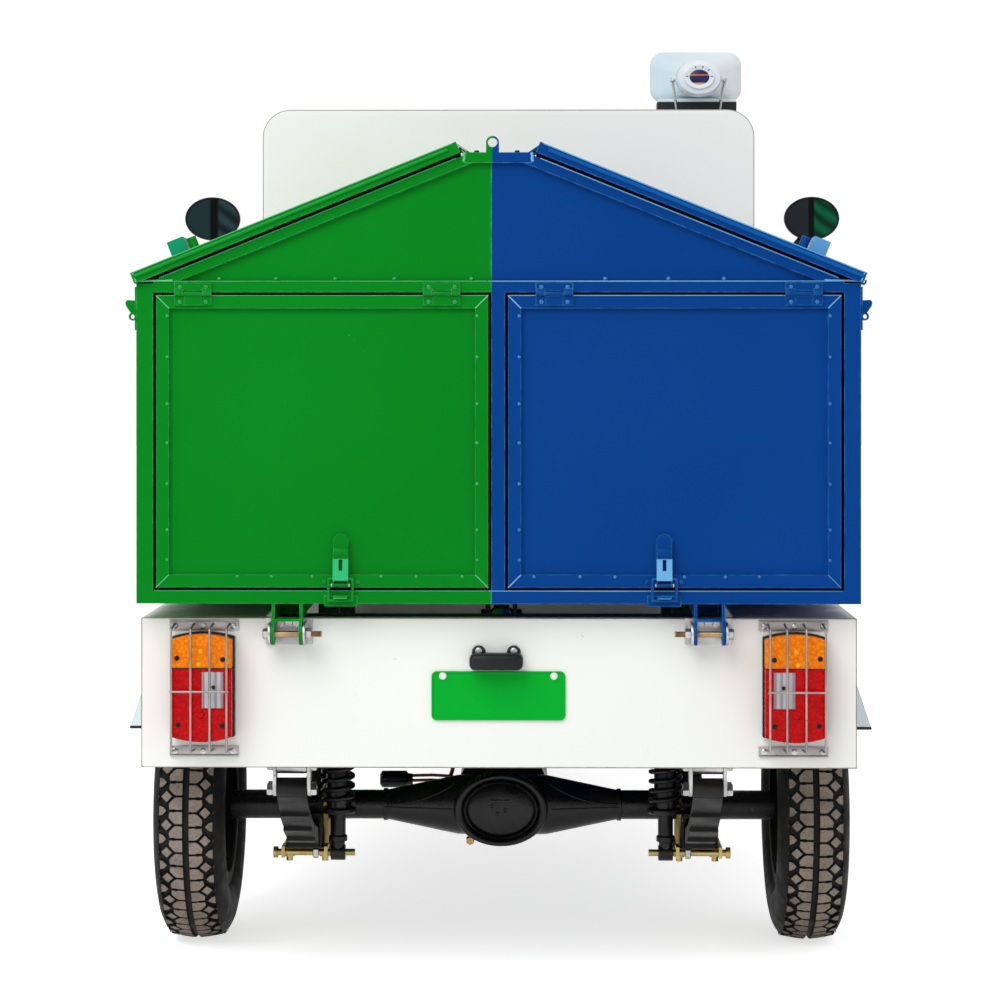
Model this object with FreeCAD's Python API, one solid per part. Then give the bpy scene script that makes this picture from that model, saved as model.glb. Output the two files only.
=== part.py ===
# A three-wheeled electric garbage tipper, seen whole: steel cab, split tipping bin, leaf-sprung rear axle.
# Millimetres. +X is the vehicle's right, +Y its front, +Z up. The origin lies on the ground, in the
# middle of the vehicle's length and width.
import FreeCAD, Part
import math
import os

V = FreeCAD.Vector

# Overall layout
REAR_PANEL_Y = -1390.0
REAR_AXLE_Y = -890.0
FRONT_AXLE_Y = 1190.0
BODY_HALF = 583.0
TYRE_INSET = 38.5
TRACK_HALF = BODY_HALF - TYRE_INSET
SEAT_GAP = 0.3

# Tyres and wheels
TYRE_R = 237.0
TYRE_W = 125.0
TYRE_SIDES = 52
BEAD_R = 127.0
RIM_FLANGE_R = 142.0
RIM_WELL_R = 122.0
RIM_T = 4.0
HUB_R = 36.0
STUB_R = 17.0
STUB_LENGTH = 40.0
STUB_CLEAR = 0.05
BRAKE_DRUM_R = 92.0
FRONT_STUB_R = 10.0
WEB_HOLES = 8
WEB_HOLE_R = 13.0
WEB_HOLE_RING = 96.0

# Chassis
RAIL_INSET = 194.5
RAIL_X = TRACK_HALF - RAIL_INSET
RAIL_W = 40.0
RAIL_H = 60.0
RAIL_Z = 400.0
RAIL_REAR_Y = -1350.0
RAIL_FRONT_Y = 130.0
CROSS_W = 36.0
CROSS_LOW_H = 45.0
MID_CROSS_Y = -560.0
POST_Y = (RAIL_REAR_Y, -420.0, 60.0)
SEAT_CROSS_Y = 420.0
POST_W = 30.0
CRADLE_Z = 595.0
CRADLE_H = 26.0
FRONT_RAIL_Z = 280.0
FRONT_RAIL_H = 50.0
FRONT_RAIL_END_Y = 945.0

# Rear body
BODY_Z0 = 375.0
BODY_Z1 = 620.0
PANEL_T = 20.0
FOLD_R = 3.0
PLATE_HALF = 109.0
PLATE_Z0 = 453.5
PLATE_Z1 = 533.0
PLATE_T = 3.0
PLATE_BEAD = 5.0
BODY_FRONT_Y = 120.0
ARCH_GAP = 29.0
ARCH_TOP_HALF = 150.0
ARCH_FOOT_HALF = 280.0
TOP_PLATE_W = 198.0
TOP_PLATE_T = 6.0
FLARE_Z1 = 558.0
FLARE_Z0 = 414.0
FLARE_OUT = 48.0
FLARE_T = 4.0
FLARE_HALF_L = 300.0

# Tipping bin
BIN_HALF = 585.0
BIN_REAR_Y = -1430.0
BIN_FRONT_Y = 70.0
BIN_Z0 = 646.0
POST = 27.0
CENTRE_POST = 22.0
BIN_SKIN = 4.0
SKIN_RECESS = 9.0
BOTTOM_RAIL_H = 21.0
EAVES_Z0 = 1149.0
EAVES_Z1 = 1167.0
FLOOR_T = 5.0
SUBFRAME_INSET = 9.0
SUBFRAME_X = RAIL_X - SUBFRAME_INSET
SUBFRAME_W = 40.0

# Roof of the bin and its lids
LID_T = 18.5
EAVES_OVERHANG = 9.0
LID_OUTER_X = BIN_HALF + EAVES_OVERHANG
LID_OUTER_Z = 1180.0
LID_INNER_X = 68.0
LID_INNER_Z = 1391.6
LID_OVERHANG = 10.0
LID_RIM = 22.0
LID_SKIN = 3.0
LIP_CLEAR = 5.0
LIP_RISE = 8.0
LIP_T = 3.0
HANDLE_IN = 30.0
HANDLE_L = 60.0
HANDLE_U = 70.0
HANDLE_W = 27.0
HANDLE_H = 26.0
RIDGE_HALF = 54.0
RIDGE_Z0 = 1358.0
RIDGE_Z1 = 1375.0
GABLE_BAR = 16.5
GABLE_GAP = 6.0
HINGE_R = 4.0
HINGE_LEAF = 3.0
HINGE_FOOT = 16.0
PIN_R = 2.5
KNUCKLE_SPAN = 60.0
LUG_X = -9.0
LUG_W = 21.0
LUG_T = 8.0
LUG_TOP = 1401.5
LUG_HOLE_R = 7.5

# Rear doors
DOOR_GAP = 5.0
DOOR_FRAME = 21.0
DOOR_SKIN = 3.0
DOOR_RECESS = 7.0
DOOR_HINGE_OUT = 4.0
LATCH_X_LEFT = 254.0
LATCH_X_RIGHT = 268.0
LATCH_HALF = 12.5
LATCH_BASE_Z0 = 674.0
LATCH_BASE_Z1 = 759.0
LEVER_Z0 = 683.0
LEVER_Z1 = 719.0
LOOP_R = 2.0
LOOP_HALF = 19.5
LOOP_Z0 = 652.0
LOOP_Z1 = 687.0

# Lid fasteners on the bin's sides
LATCH_LOW_Z = 1088.0
LATCH_TOP_Z = 1158.0
LATCH_MID_Z = 1136.0
LATCH_REACH = 19.0
RING_Z = 1110.0
RING_R = 6.5

# Tip hinge
TIP_PIN_Y = -1428.0
TIP_PIN_Z = 597.0
TIP_PIN_R = 5.0
EAR_HALF_SPAN = 25.0
EAR_T = 5.0
EAR_GAP = 1.0
EAR_R = 18.0
EAR_DEPTH = 85.0
EAR_CROSS_Z = 618.0
FIXED_EAR_T = 4.0
PIN_CLEAR = 0.1

# Springs
SPRING_X = RAIL_X
SHOCK_INSET = 59.0
SPRING_W = 50.0
LEAF_T = 7.0
LEAF_COUNT = 5
SPRING_TOP_Z = 204.0
SPRING_EYE_Z = 310.0
SPRING_HALF = 350.0
EYE_R = 17.0
EYE_PIN_R = 8.0
SHACKLE_TOP_Z = 359.0

# Rear axle
AXLE_TUBE_R = 26.0
HUB_INSET = 53.0
AXLE_TUBE_END = TRACK_HALF - HUB_INSET
ARM_MOUTH_X = 80.0
ARM_MOUTH_R = 55.0
ARM_TO_SPRING = 142.0
ARM_END_X = SPRING_X - ARM_TO_SPRING
ARM_SWELL = 8.0
DRUM_HALF_X = 84.0
DRUM_HALF_Z = 64.0
DRUM_DROP = 10.0
COVER_RIM = 16.0
COVER_DEPTH = 9.0

# Cab
CAB_HALF = 537.0
CAB_REAR_Y = 150.0
CAB_WALL = 25.0
CAB_ROOF_Z = 1590.0
CAB_CORNER_R = 60.0
CAB_FLOOR_Z = 350.0
CAB_FLOOR_T = 20.0
TOE_BOARD_Z = 600.0
TOE_BOARD_T = 15.0
CAB_FLOOR_FRONT_Y = 900.0
ROOF_FRONT_Y = 1015.0
ROOF_SIDE_DEPTH = 90.0
ROOF_SIDE_Z = CAB_ROOF_Z - ROOF_SIDE_DEPTH
NOSE_FRONT_Y = 1230.0
NOSE_Z0 = 560.0
SILL_Z = 950.0
NOSE_TOP_Y = 1145.0
NOSE_CORNER_R = 90.0
NOSE_CROWN = 22.0
COWL_Y = 1010.0
SCREEN_FOOT_Y = 1045.0
SCREEN_HEAD_Y = 930.0
HEADLAMP_X = 300.0
HEADLAMP_Z = 780.0
HEADLAMP_R = 70.0
INDICATOR_Z = 655.0
SEAT_HALF = 290.0
SEAT_FRONT_Y = 560.0
SEAT_Z = 580.0
SEAT_BACK_Z = 1050.0
PILLAR_W = 36.0
GLASS_T = 6.0

# Steering
RAKE = 25.0
TRAIL = 90.0
HEAD_TUBE_Z0 = 560.0
HEAD_TUBE_Z1 = 740.0
HEAD_TUBE_R = 28.0
STEM_R = 16.0
LEG_X = 92.0
LEG_R = 18.0
HANDLEBAR_Z = 1000.0

# Tipping cylinder
CYL_BASE_Y = -300.0
CYL_BASE_Z = 430.0
CYL_EYE_Y = -1000.0
CYL_EYE_Z = 590.0
CYL_R = 32.0
ROD_R = 18.0
CYL_EYE_R = 18.0


def box(x0, x1, y0, y1, z0, z1):
    return Part.makeBox(abs(x1 - x0), abs(y1 - y0), abs(z1 - z0), V(min(x0, x1), min(y0, y1), min(z0, z1)))


def cyl_x(radius, x0, x1, y, z):
    return Part.makeCylinder(radius, abs(x1 - x0), V(min(x0, x1), y, z), V(1, 0, 0))


def cyl_y(radius, y0, y1, x, z):
    return Part.makeCylinder(radius, abs(y1 - y0), V(x, min(y0, y1), z), V(0, 1, 0))


def cyl_z(radius, z0, z1, x, y):
    return Part.makeCylinder(radius, abs(z1 - z0), V(x, y, min(z0, z1)), V(0, 0, 1))


def rod(radius, start, end):
    way = end - start
    return Part.makeCylinder(radius, way.Length, start, way)


def plate_x(points, x0, x1):
    """A flat outline of (y, z) points, given a thickness along X."""
    wire = Part.makePolygon([V(x0, y, z) for y, z in points + points[:1]])
    return Part.Face(wire).extrude(V(x1 - x0, 0, 0))


def plate_y(points, y0, y1):
    """A flat outline of (x, z) points, given a thickness along Y."""
    wire = Part.makePolygon([V(x, y0, z) for x, z in points + points[:1]])
    return Part.Face(wire).extrude(V(0, y1 - y0, 0))


def join(shapes):
    whole = shapes[0].fuse(shapes[1:]) if len(shapes) > 1 else shapes[0]
    return whole.removeSplitter()


def mirrored(shape):
    return shape.mirror(V(0, 0, 0), V(1, 0, 0))


def oval_wire(x, y, z, half_x, half_z):
    """An oval in an upright plane at y, wider than it is tall."""
    edge = Part.Ellipse(V(x + half_x, y, z), V(x, y, z + half_z), V(x, y, z)).toShape()
    return Part.Wire([edge])


def oval_y(half_x, half_z, y0, y1, x, z):
    return Part.Face(oval_wire(x, y0, z, half_x, half_z)).extrude(V(0, y1 - y0, 0))


def rounded_wire(x, y, z, half_x, half_z, r):
    """An upright oblong with round corners, at y."""
    c = r * (1 - math.sqrt(0.5))
    x0, x1, z0, z1 = x - half_x, x + half_x, z - half_z, z + half_z
    return Part.Wire(
        [
            Part.LineSegment(V(x0 + r, y, z0), V(x1 - r, y, z0)).toShape(),
            Part.Arc(V(x1 - r, y, z0), V(x1 - c, y, z0 + c), V(x1, y, z0 + r)).toShape(),
            Part.LineSegment(V(x1, y, z0 + r), V(x1, y, z1 - r)).toShape(),
            Part.Arc(V(x1, y, z1 - r), V(x1 - c, y, z1 - c), V(x1 - r, y, z1)).toShape(),
            Part.LineSegment(V(x1 - r, y, z1), V(x0 + r, y, z1)).toShape(),
            Part.Arc(V(x0 + r, y, z1), V(x0 + c, y, z1 - c), V(x0, y, z1 - r)).toShape(),
            Part.LineSegment(V(x0, y, z1 - r), V(x0, y, z0 + r)).toShape(),
            Part.Arc(V(x0, y, z0 + r), V(x0 + c, y, z0 + c), V(x0 + r, y, z0)).toShape(),
        ]
    )


def revolve_x(profile, centre_x, y, z):
    """A closed profile of (offset along X, radius) points, turned about an axle along X."""
    wire = Part.makePolygon([V(centre_x + a, y, z + r) for a, r in profile + profile[:1]])
    return Part.Face(wire).revolve(V(centre_x, y, z), V(1, 0, 0), 360)


# Wheels

def turned_facets(profile, centre_x, y, z):
    """A closed profile of (offset along X, radius) points, turned about an axle along X in flat facets."""
    rings = []
    for i in range(TYRE_SIDES):
        a = 2 * math.pi * i / TYRE_SIDES
        rings.append([V(centre_x + u, y + r * math.sin(a), z + r * math.cos(a)) for u, r in profile])
    faces = []
    for i in range(TYRE_SIDES):
        here = rings[i]
        there = rings[(i + 1) % TYRE_SIDES]
        for k in range(len(profile)):
            n = (k + 1) % len(profile)
            faces.append(Part.Face(Part.makePolygon([here[k], here[n], there[n], there[k], here[k]])))
    solid = Part.makeSolid(Part.makeShell(faces))
    return solid if solid.Volume > 0 else solid.reversed()


def tyre(centre_x, y):
    """Bead, sidewall and crown in flat facets, hollow inside; one half is drawn and mirrored."""
    half = TYRE_W / 2.0
    outer = [
        (46.0, BEAD_R),
        (46.0, RIM_FLANGE_R + 2),
        (half - 3, RIM_FLANGE_R + 18),
        (half, TYRE_R - 56),
        (half - 6, TYRE_R - 24),
        (half - 15, TYRE_R - 7),
    ]
    inner = [(half - 24, TYRE_R - 22), (half - 12, TYRE_R - 56), (33.0, BEAD_R)]
    right = outer + [(0.0, TYRE_R)]
    left = [(-u, r) for u, r in reversed(outer)]
    inside = [(-u, r) for u, r in reversed(inner)] + inner
    return turned_facets(right + left + inside, centre_x, y, TYRE_R)


def rim(centre_x, y, side, stub_r):
    """A pressed steel rim with its web, holes and hub. side is +1 where the web is dished to +X."""
    barrel = RIM_WELL_R + RIM_T
    lip = 52.0
    seat = 46.5
    well = revolve_x(
        [
            (-lip, RIM_FLANGE_R),
            (-seat, RIM_FLANGE_R),
            (-seat, barrel),
            (seat, barrel),
            (seat, RIM_FLANGE_R),
            (lip, RIM_FLANGE_R),
            (lip, RIM_WELL_R),
            (-lip, RIM_WELL_R),
        ],
        centre_x,
        y,
        TYRE_R,
    )
    bore = stub_r + STUB_CLEAR
    web = revolve_x(
        [
            (side * 2, bore),
            (side * 2, HUB_R),
            (side * 8, HUB_R + 6),
            (side * 22, HUB_R + 40),
            (side * 10, RIM_WELL_R + 1),
            (side * 16, RIM_WELL_R + 1),
            (side * 28, HUB_R + 40),
            (side * 26, HUB_R),
            (side * 30, HUB_R - 8),
            (side * 30, bore),
        ],
        centre_x,
        y,
        TYRE_R,
    )
    for i in range(WEB_HOLES):
        a = 2 * math.pi * i / WEB_HOLES
        hy = y + WEB_HOLE_RING * math.cos(a)
        hz = TYRE_R + WEB_HOLE_RING * math.sin(a)
        web = web.cut(cyl_x(WEB_HOLE_R, centre_x + side * 8, centre_x + side * 32, hy, hz))
    return join([well, web])


def brake_drum(centre_x, y, side, stub_r):
    """The finned drum on the inner side of the web, open towards the chassis."""
    bore = stub_r + STUB_CLEAR
    return revolve_x(
        [
            (side * 2, bore),
            (-side * 4, bore),
            (-side * 4, BRAKE_DRUM_R - 6),
            (-side * 40, BRAKE_DRUM_R - 6),
            (-side * 40, BRAKE_DRUM_R),
            (side * 2, BRAKE_DRUM_R),
        ],
        centre_x,
        y,
        TYRE_R,
    )


def rear_rim(side):
    x = side * TRACK_HALF
    return join([rim(x, REAR_AXLE_Y, side, STUB_R), brake_drum(x, REAR_AXLE_Y, side, STUB_R)])


def front_rim():
    hub_half = 60.0
    shell = revolve_x(
        [
            (-hub_half, FRONT_STUB_R + STUB_CLEAR),
            (-hub_half, HUB_R - 6),
            (hub_half, HUB_R - 6),
            (hub_half, FRONT_STUB_R + STUB_CLEAR),
        ],
        0.0,
        FRONT_AXLE_Y,
        TYRE_R,
    )
    return join([rim(0.0, FRONT_AXLE_Y, 1, FRONT_STUB_R), shell])


# Rear axle and suspension

def rear_axle():
    """A banjo housing: trumpet arms, an oval drum with its dished cover, the spring pads and the stubs."""
    z = TYRE_R
    y = REAR_AXLE_Y
    parts = [cyl_x(AXLE_TUBE_R, -AXLE_TUBE_END, AXLE_TUBE_END, y, z)]
    for side in (-1, 1):
        mouth = V(side * ARM_MOUTH_X, y, z + ARM_MOUTH_R)
        waist = V(side * (ARM_MOUTH_X + ARM_END_X) / 2, y, z + AXLE_TUBE_R + ARM_SWELL)
        end = V(side * ARM_END_X, y, z + AXLE_TUBE_R)
        edges = [
            Part.LineSegment(V(0, y, z), V(0, y, z + ARM_MOUTH_R + 4)).toShape(),
            Part.LineSegment(V(0, y, z + ARM_MOUTH_R + 4), mouth).toShape(),
            Part.Arc(mouth, waist, end).toShape(),
            Part.LineSegment(end, V(side * ARM_END_X, y, z)).toShape(),
            Part.LineSegment(V(side * ARM_END_X, y, z), V(0, y, z)).toShape(),
        ]
        arm = Part.Face(Part.Wire(edges)).revolve(V(0, y, z), V(1, 0, 0), 360)
        collar = cyl_x(AXLE_TUBE_R + 3, side * ARM_END_X, side * (ARM_END_X + 6), y, z)
        parts += [arm, collar]
    drum_z = z - DRUM_DROP
    parts.append(oval_y(DRUM_HALF_X, DRUM_HALF_Z, y - 40, y + 30, 0, drum_z))
    rim_ring = oval_y(DRUM_HALF_X + 4, DRUM_HALF_Z + 4, y - 40, y - 30, 0, drum_z)
    parts.append(rim_ring)
    shape = join(parts)
    dish_x = DRUM_HALF_X - COVER_RIM
    dish_z = DRUM_HALF_Z - COVER_RIM
    dish = oval_y(dish_x, dish_z, y - 41, y - 40 + COVER_DEPTH, 0, drum_z)
    crown = Part.makeLoft(
        [
            oval_wire(0, y - 40 + COVER_DEPTH, drum_z, dish_x - 6, dish_z - 6),
            oval_wire(0, y - 40, drum_z, dish_x - 12, dish_z - 12),
        ],
        True,
    )
    nose = Part.makeCone(DRUM_HALF_Z - 2, 46, 54, V(0, y + 30, z), V(0, 1, 0))
    parts = [shape.cut(dish), crown, nose]
    for side in (-1, 1):
        pad_x = side * SPRING_X
        parts.append(box(pad_x - 25, pad_x + 25, y - 22, y + 22, SPRING_TOP_Z + 0.5, z))
        parts.append(cyl_x(BRAKE_DRUM_R + 8, side * AXLE_TUBE_END, side * (AXLE_TUBE_END + 8), y, z))
        parts.append(cyl_x(STUB_R, side * AXLE_TUBE_END, side * (TRACK_HALF + STUB_LENGTH), y, z))
        parts.append(cyl_x(STUB_R + 9, side * (TRACK_HALF + 30.5), side * (TRACK_HALF + STUB_LENGTH), y, z))
    return join(parts)


def drive_motor():
    z = TYRE_R + 12
    y0 = REAR_AXLE_Y + 84
    body = cyl_y(82, y0, y0 + 230, 0, z)
    cap = cyl_y(60, y0 + 230, y0 + 250, 0, z)
    return join([body, cap])


def spring_circle():
    rise = SPRING_EYE_Z - SPRING_TOP_Z
    radius = (SPRING_HALF ** 2 + rise ** 2) / (2 * rise)
    return radius, SPRING_TOP_Z + radius


def leaf_spring(side):
    """Concentric leaves under the axle, the top one ending in an eye at each end."""
    radius, zc = spring_circle()
    x0 = side * SPRING_X - SPRING_W / 2
    y = REAR_AXLE_Y
    leaves = []
    for i in range(LEAF_COUNT):
        r0 = radius + i * LEAF_T
        r1 = r0 + LEAF_T
        half = SPRING_HALF * (1 - 0.17 * i)
        a = math.asin(half / radius)

        def at(r, angle):
            return V(x0, y + r * math.sin(angle), zc - r * math.cos(angle))

        edges = [
            Part.Arc(at(r0, -a), at(r0, 0), at(r0, a)).toShape(),
            Part.LineSegment(at(r0, a), at(r1, a)).toShape(),
            Part.Arc(at(r1, a), at(r1, 0), at(r1, -a)).toShape(),
            Part.LineSegment(at(r1, -a), at(r0, -a)).toShape(),
        ]
        leaves.append(Part.Face(Part.Wire(edges)).extrude(V(SPRING_W, 0, 0)))
    for end in (-1, 1):
        a = end * math.asin(SPRING_HALF / radius)
        ey = y + (radius - EYE_R + 6) * math.sin(a)
        ez = zc - (radius - EYE_R + 6) * math.cos(a)
        eye = cyl_x(EYE_R, x0, x0 + SPRING_W, ey, ez)
        bore = cyl_x(EYE_PIN_R + PIN_CLEAR, x0 - 1, x0 + SPRING_W + 1, ey, ez)
        leaves = [leaf.cut(bore) for leaf in leaves]
        leaves.append(eye.cut(bore))
    return join(leaves)


def spring_eye(end):
    radius, zc = spring_circle()
    a = end * math.asin(SPRING_HALF / radius)
    return REAR_AXLE_Y + (radius - EYE_R + 6) * math.sin(a), zc - (radius - EYE_R + 6) * math.cos(a)


def spring_hangers(side):
    """Rear shackle with its tube under the rail, and the fixed bracket at the front eye."""
    x = side * SPRING_X
    half = SPRING_W / 2 + 1.0
    ry, rz = spring_eye(-1)
    fy, fz = spring_eye(1)
    parts = [cyl_x(16, x - half + 1, x + half - 1, ry, SHACKLE_TOP_Z)]
    parts.append(box(x - half + 1, x + half - 1, ry - 16, ry + 16, SHACKLE_TOP_Z, RAIL_Z))
    for k in (-1, 1):
        a = x + k * half
        b = x + k * (half + 6)
        strap = box(min(a, b), max(a, b), ry - 14, ry + 14, rz, SHACKLE_TOP_Z)
        parts.append(join([strap, cyl_x(14, a, b, ry, rz), cyl_x(14, a, b, ry, SHACKLE_TOP_Z)]))
        parts.append(cyl_x(11, b, b + k * 8, ry, rz))
        parts.append(cyl_x(11, b, b + k * 8, ry, SHACKLE_TOP_Z))
        cheek = [(fy - 30, RAIL_Z), (fy + 30, RAIL_Z), (fy + 16, fz - 16), (fy - 16, fz - 16)]
        parts.append(plate_x(cheek, a, b))
    parts.append(cyl_x(EYE_PIN_R, x - half - 14, x + half + 14, ry, rz))
    parts.append(cyl_x(EYE_PIN_R, x - half - 14, x + half + 14, ry, SHACKLE_TOP_Z))
    parts.append(cyl_x(EYE_PIN_R, x - half - 14, x + half + 14, fy, fz))
    return join(parts)


CLAMP_Z1 = SPRING_TOP_Z - LEAF_COUNT * LEAF_T
CLAMP_T = 12.0
SHOCK_X = SPRING_X - SHOCK_INSET
SHOCK_Y = -975.0
SHOCK_Z0 = 165.0
SHOCK_Z1 = 510.0


def spring_clamps(side):
    """U-bolts over the axle, their plate under the leaves and the long bolt to the shock absorber."""
    x = side * SPRING_X
    z0 = CLAMP_Z1 - CLAMP_T
    bolt_r = 6.0
    ring_r = AXLE_TUBE_R + bolt_r + SEAT_GAP
    parts = [box(x - 44, x + 44, REAR_AXLE_Y - 62, REAR_AXLE_Y + 52, z0, CLAMP_Z1)]
    for k in (-1, 1):
        bx = x + k * (SPRING_W / 2 + bolt_r + 1)
        section = []
        for i in range(8):
            a = math.radians(45 * i + 22.5)
            section.append((bolt_r * math.cos(a), ring_r + bolt_r * math.sin(a)))
        arch = revolve_x(section, bx, REAR_AXLE_Y, TYRE_R)
        keep = box(bx - 20, bx + 20, REAR_AXLE_Y - 60, REAR_AXLE_Y + 60, TYRE_R, TYRE_R + 60)
        parts.append(arch.common(keep))
        for j in (-1, 1):
            parts.append(cyl_z(bolt_r, z0 - 16, TYRE_R, bx, REAR_AXLE_Y + j * ring_r))
            parts.append(cyl_z(10, z0 - 8, z0, bx, REAR_AXLE_Y + j * ring_r))
    for lx in (x + side * 38, x - side * 38):
        parts.append(box(lx - 3, lx + 3, SHOCK_Y - 14, REAR_AXLE_Y - 60, z0, SHOCK_Z0 + 12))
    inner = side * (SHOCK_X - 30)
    outer = x + side * 56
    bolt = cyl_x(6, inner, outer, SHOCK_Y, SHOCK_Z0)
    head = cyl_x(10, outer - side * 8, outer, SHOCK_Y, SHOCK_Z0)
    parts += [bolt, head]
    return join(parts)


def shock_absorber(side):
    """Damper with its coil spring, eye below on the clamp's bolt and top eye on the frame's bracket."""
    x = side * SHOCK_X
    lower = cyl_x(14, x - 13, x + 13, SHOCK_Y, SHOCK_Z0)
    neck = cyl_z(12, SHOCK_Z0 + 8, SHOCK_Z0 + 20, x, SHOCK_Y)
    body = cyl_z(22, SHOCK_Z0 + 18, SHOCK_Z0 + 170, x, SHOCK_Y)
    cup = cyl_z(32, SHOCK_Z0 + 120, SHOCK_Z0 + 126, x, SHOCK_Y)
    shaft = cyl_z(9, SHOCK_Z0 + 170, SHOCK_Z1, x, SHOCK_Y)
    upper_cup = cyl_z(32, SHOCK_Z1 - 34, SHOCK_Z1 - 28, x, SHOCK_Y)
    upper = cyl_x(14, x - 13, x + 13, SHOCK_Y, SHOCK_Z1)
    spring = coil(x, SHOCK_Y, SHOCK_Z0 + 128, SHOCK_Z1 - 36, 26.0, 4.5, 7)
    pin = cyl_x(6 + PIN_CLEAR, x - 20, x + 20, SHOCK_Y, SHOCK_Z0)
    pin_top = cyl_x(6 + PIN_CLEAR, x - 20, x + 20, SHOCK_Y, SHOCK_Z1)
    return join([lower, neck, body, cup, shaft, upper_cup, upper] + spring).cut(pin).cut(pin_top)


def coil(x, y, z0, z1, radius, wire_r, turns):
    """The spring's turns as closed six-sided rings on the sleeve that runs through them."""
    rings = []
    step = (z1 - z0) / (turns - 1)
    for i in range(turns):
        section = []
        for k in range(6):
            a = math.radians(60 * k)
            section.append(V(x + radius + wire_r * math.cos(a), y, z0 + i * step + wire_r * math.sin(a)))
        face = Part.Face(Part.makePolygon(section + section[:1]))
        rings.append(face.revolve(V(x, y, z0), V(0, 0, 1), 360))
    rings.append(cyl_z(radius - wire_r + 1, z0 - 2, z1 + 2, x, y))
    return rings


# Chassis

def chassis_frame():
    parts = []
    for side in (-1, 1):
        x0 = side * RAIL_X - RAIL_W / 2
        x1 = side * RAIL_X + RAIL_W / 2
        parts.append(box(x0, x1, RAIL_REAR_Y, RAIL_FRONT_Y, RAIL_Z, RAIL_Z + RAIL_H))
        front_top = FRONT_RAIL_Z + FRONT_RAIL_H
        parts.append(box(x0, x1, RAIL_FRONT_Y - 50, FRONT_RAIL_END_Y, FRONT_RAIL_Z, front_top))
        parts.append(box(x0, x1, RAIL_FRONT_Y - 50, RAIL_FRONT_Y, FRONT_RAIL_Z, RAIL_Z))
        for y in POST_Y:
            parts.append(box(x0, x1, y, y + POST_W, RAIL_Z + RAIL_H, CRADLE_Z))
        parts.append(box(x0, x1, SHOCK_Y - 20, SHOCK_Y + 20, RAIL_Z + RAIL_H, SHOCK_Z1 + 16))
        parts.append(cyl_x(6, side * (SHOCK_X - 22), side * RAIL_X, SHOCK_Y, SHOCK_Z1))
    inner = RAIL_X - RAIL_W / 2
    for y, h in ((RAIL_REAR_Y, RAIL_H), (MID_CROSS_Y, CROSS_LOW_H), (POST_Y[2], RAIL_H)):
        parts.append(box(-inner, inner, y, y + CROSS_W, RAIL_Z, RAIL_Z + h))
    outer = RAIL_X + RAIL_W / 2
    for y in POST_Y:
        parts.append(box(-outer, outer, y, y + POST_W, CRADLE_Z, CRADLE_Z + CRADLE_H))
    for y in (SEAT_CROSS_Y, FRONT_RAIL_END_Y - CROSS_W - 60):
        parts.append(box(-inner, inner, y, y + CROSS_W, FRONT_RAIL_Z, FRONT_RAIL_Z + FRONT_RAIL_H))
    return join(parts + cylinder_base())


def steer_point(z):
    """The steering axis meets the ground ahead of the wheel by the trail and leans back by the rake."""
    return V(0, FRONT_AXLE_Y + TRAIL - z * math.tan(math.radians(RAKE)), z)


def steer_dir():
    a = math.radians(RAKE)
    return V(0, -math.sin(a), math.cos(a))


def head_frame():
    """The head tube and the four tubes that carry it from the front crossmember."""
    low = steer_point(HEAD_TUBE_Z0)
    high = steer_point(HEAD_TUBE_Z1)
    bore = STEM_R + PIN_CLEAR
    parts = [rod(HEAD_TUBE_R, low, high)]
    base_y = FRONT_RAIL_END_Y - 20
    base_z = FRONT_RAIL_Z + FRONT_RAIL_H
    for side in (-1, 1):
        foot = V(side * RAIL_X, base_y, base_z)
        knee = V(side * 170, base_y, HEAD_TUBE_Z0 - 40)
        parts.append(rod(16, foot, knee))
        parts.append(rod(16, knee, steer_point(HEAD_TUBE_Z0 + 60)))
        parts.append(Part.makeSphere(16, knee))
        foot_x = side * RAIL_X
        parts.append(box(foot_x - 20, foot_x + 20, base_y - 19, base_y + 20, base_z, base_z + 8))
    shape = join(parts)
    shape = shape.cut(box(-400, 400, base_y - 30, base_y + 30, 0, base_z))
    return shape.cut(rod(bore, steer_point(HEAD_TUBE_Z0 - 40), steer_point(HEAD_TUBE_Z1 + 40)))


# Rear body

def rear_panel():
    """The tail panel, its outer edges rounded where the sheet is folded."""
    slab = box(-BODY_HALF, BODY_HALF, REAR_PANEL_Y, REAR_PANEL_Y + PANEL_T, BODY_Z0, BODY_Z1)
    outer = [e for e in slab.Edges if e.BoundBox.YMax < REAR_PANEL_Y + 1]
    return slab.makeFillet(FOLD_R, outer)


def body_side(side):
    """Skirt panel with its folded wheel opening, and the cover plate along its top."""
    x0 = side * (BODY_HALF - PANEL_T)
    x1 = side * BODY_HALF
    y0 = REAR_PANEL_Y + PANEL_T
    skirt = box(x0, x1, y0, BODY_FRONT_Y, BODY_Z0, BODY_Z1)
    top_z = 2 * TYRE_R + ARCH_GAP
    foot = [(-ARCH_FOOT_HALF, BODY_Z0 - 1), (-ARCH_FOOT_HALF, BODY_Z0), (-ARCH_TOP_HALF, top_z)]
    outline = foot + [(-y, z) for y, z in reversed(foot)]
    arch = plate_x([(REAR_AXLE_Y + y, z) for y, z in outline], x0 - side * 5, x1 + side * 5)
    top = box(side * (BODY_HALF - TOP_PLATE_W), x0, y0, BODY_FRONT_Y, BODY_Z1 - TOP_PLATE_T, BODY_Z1)
    return join([skirt.cut(arch), top])


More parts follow.
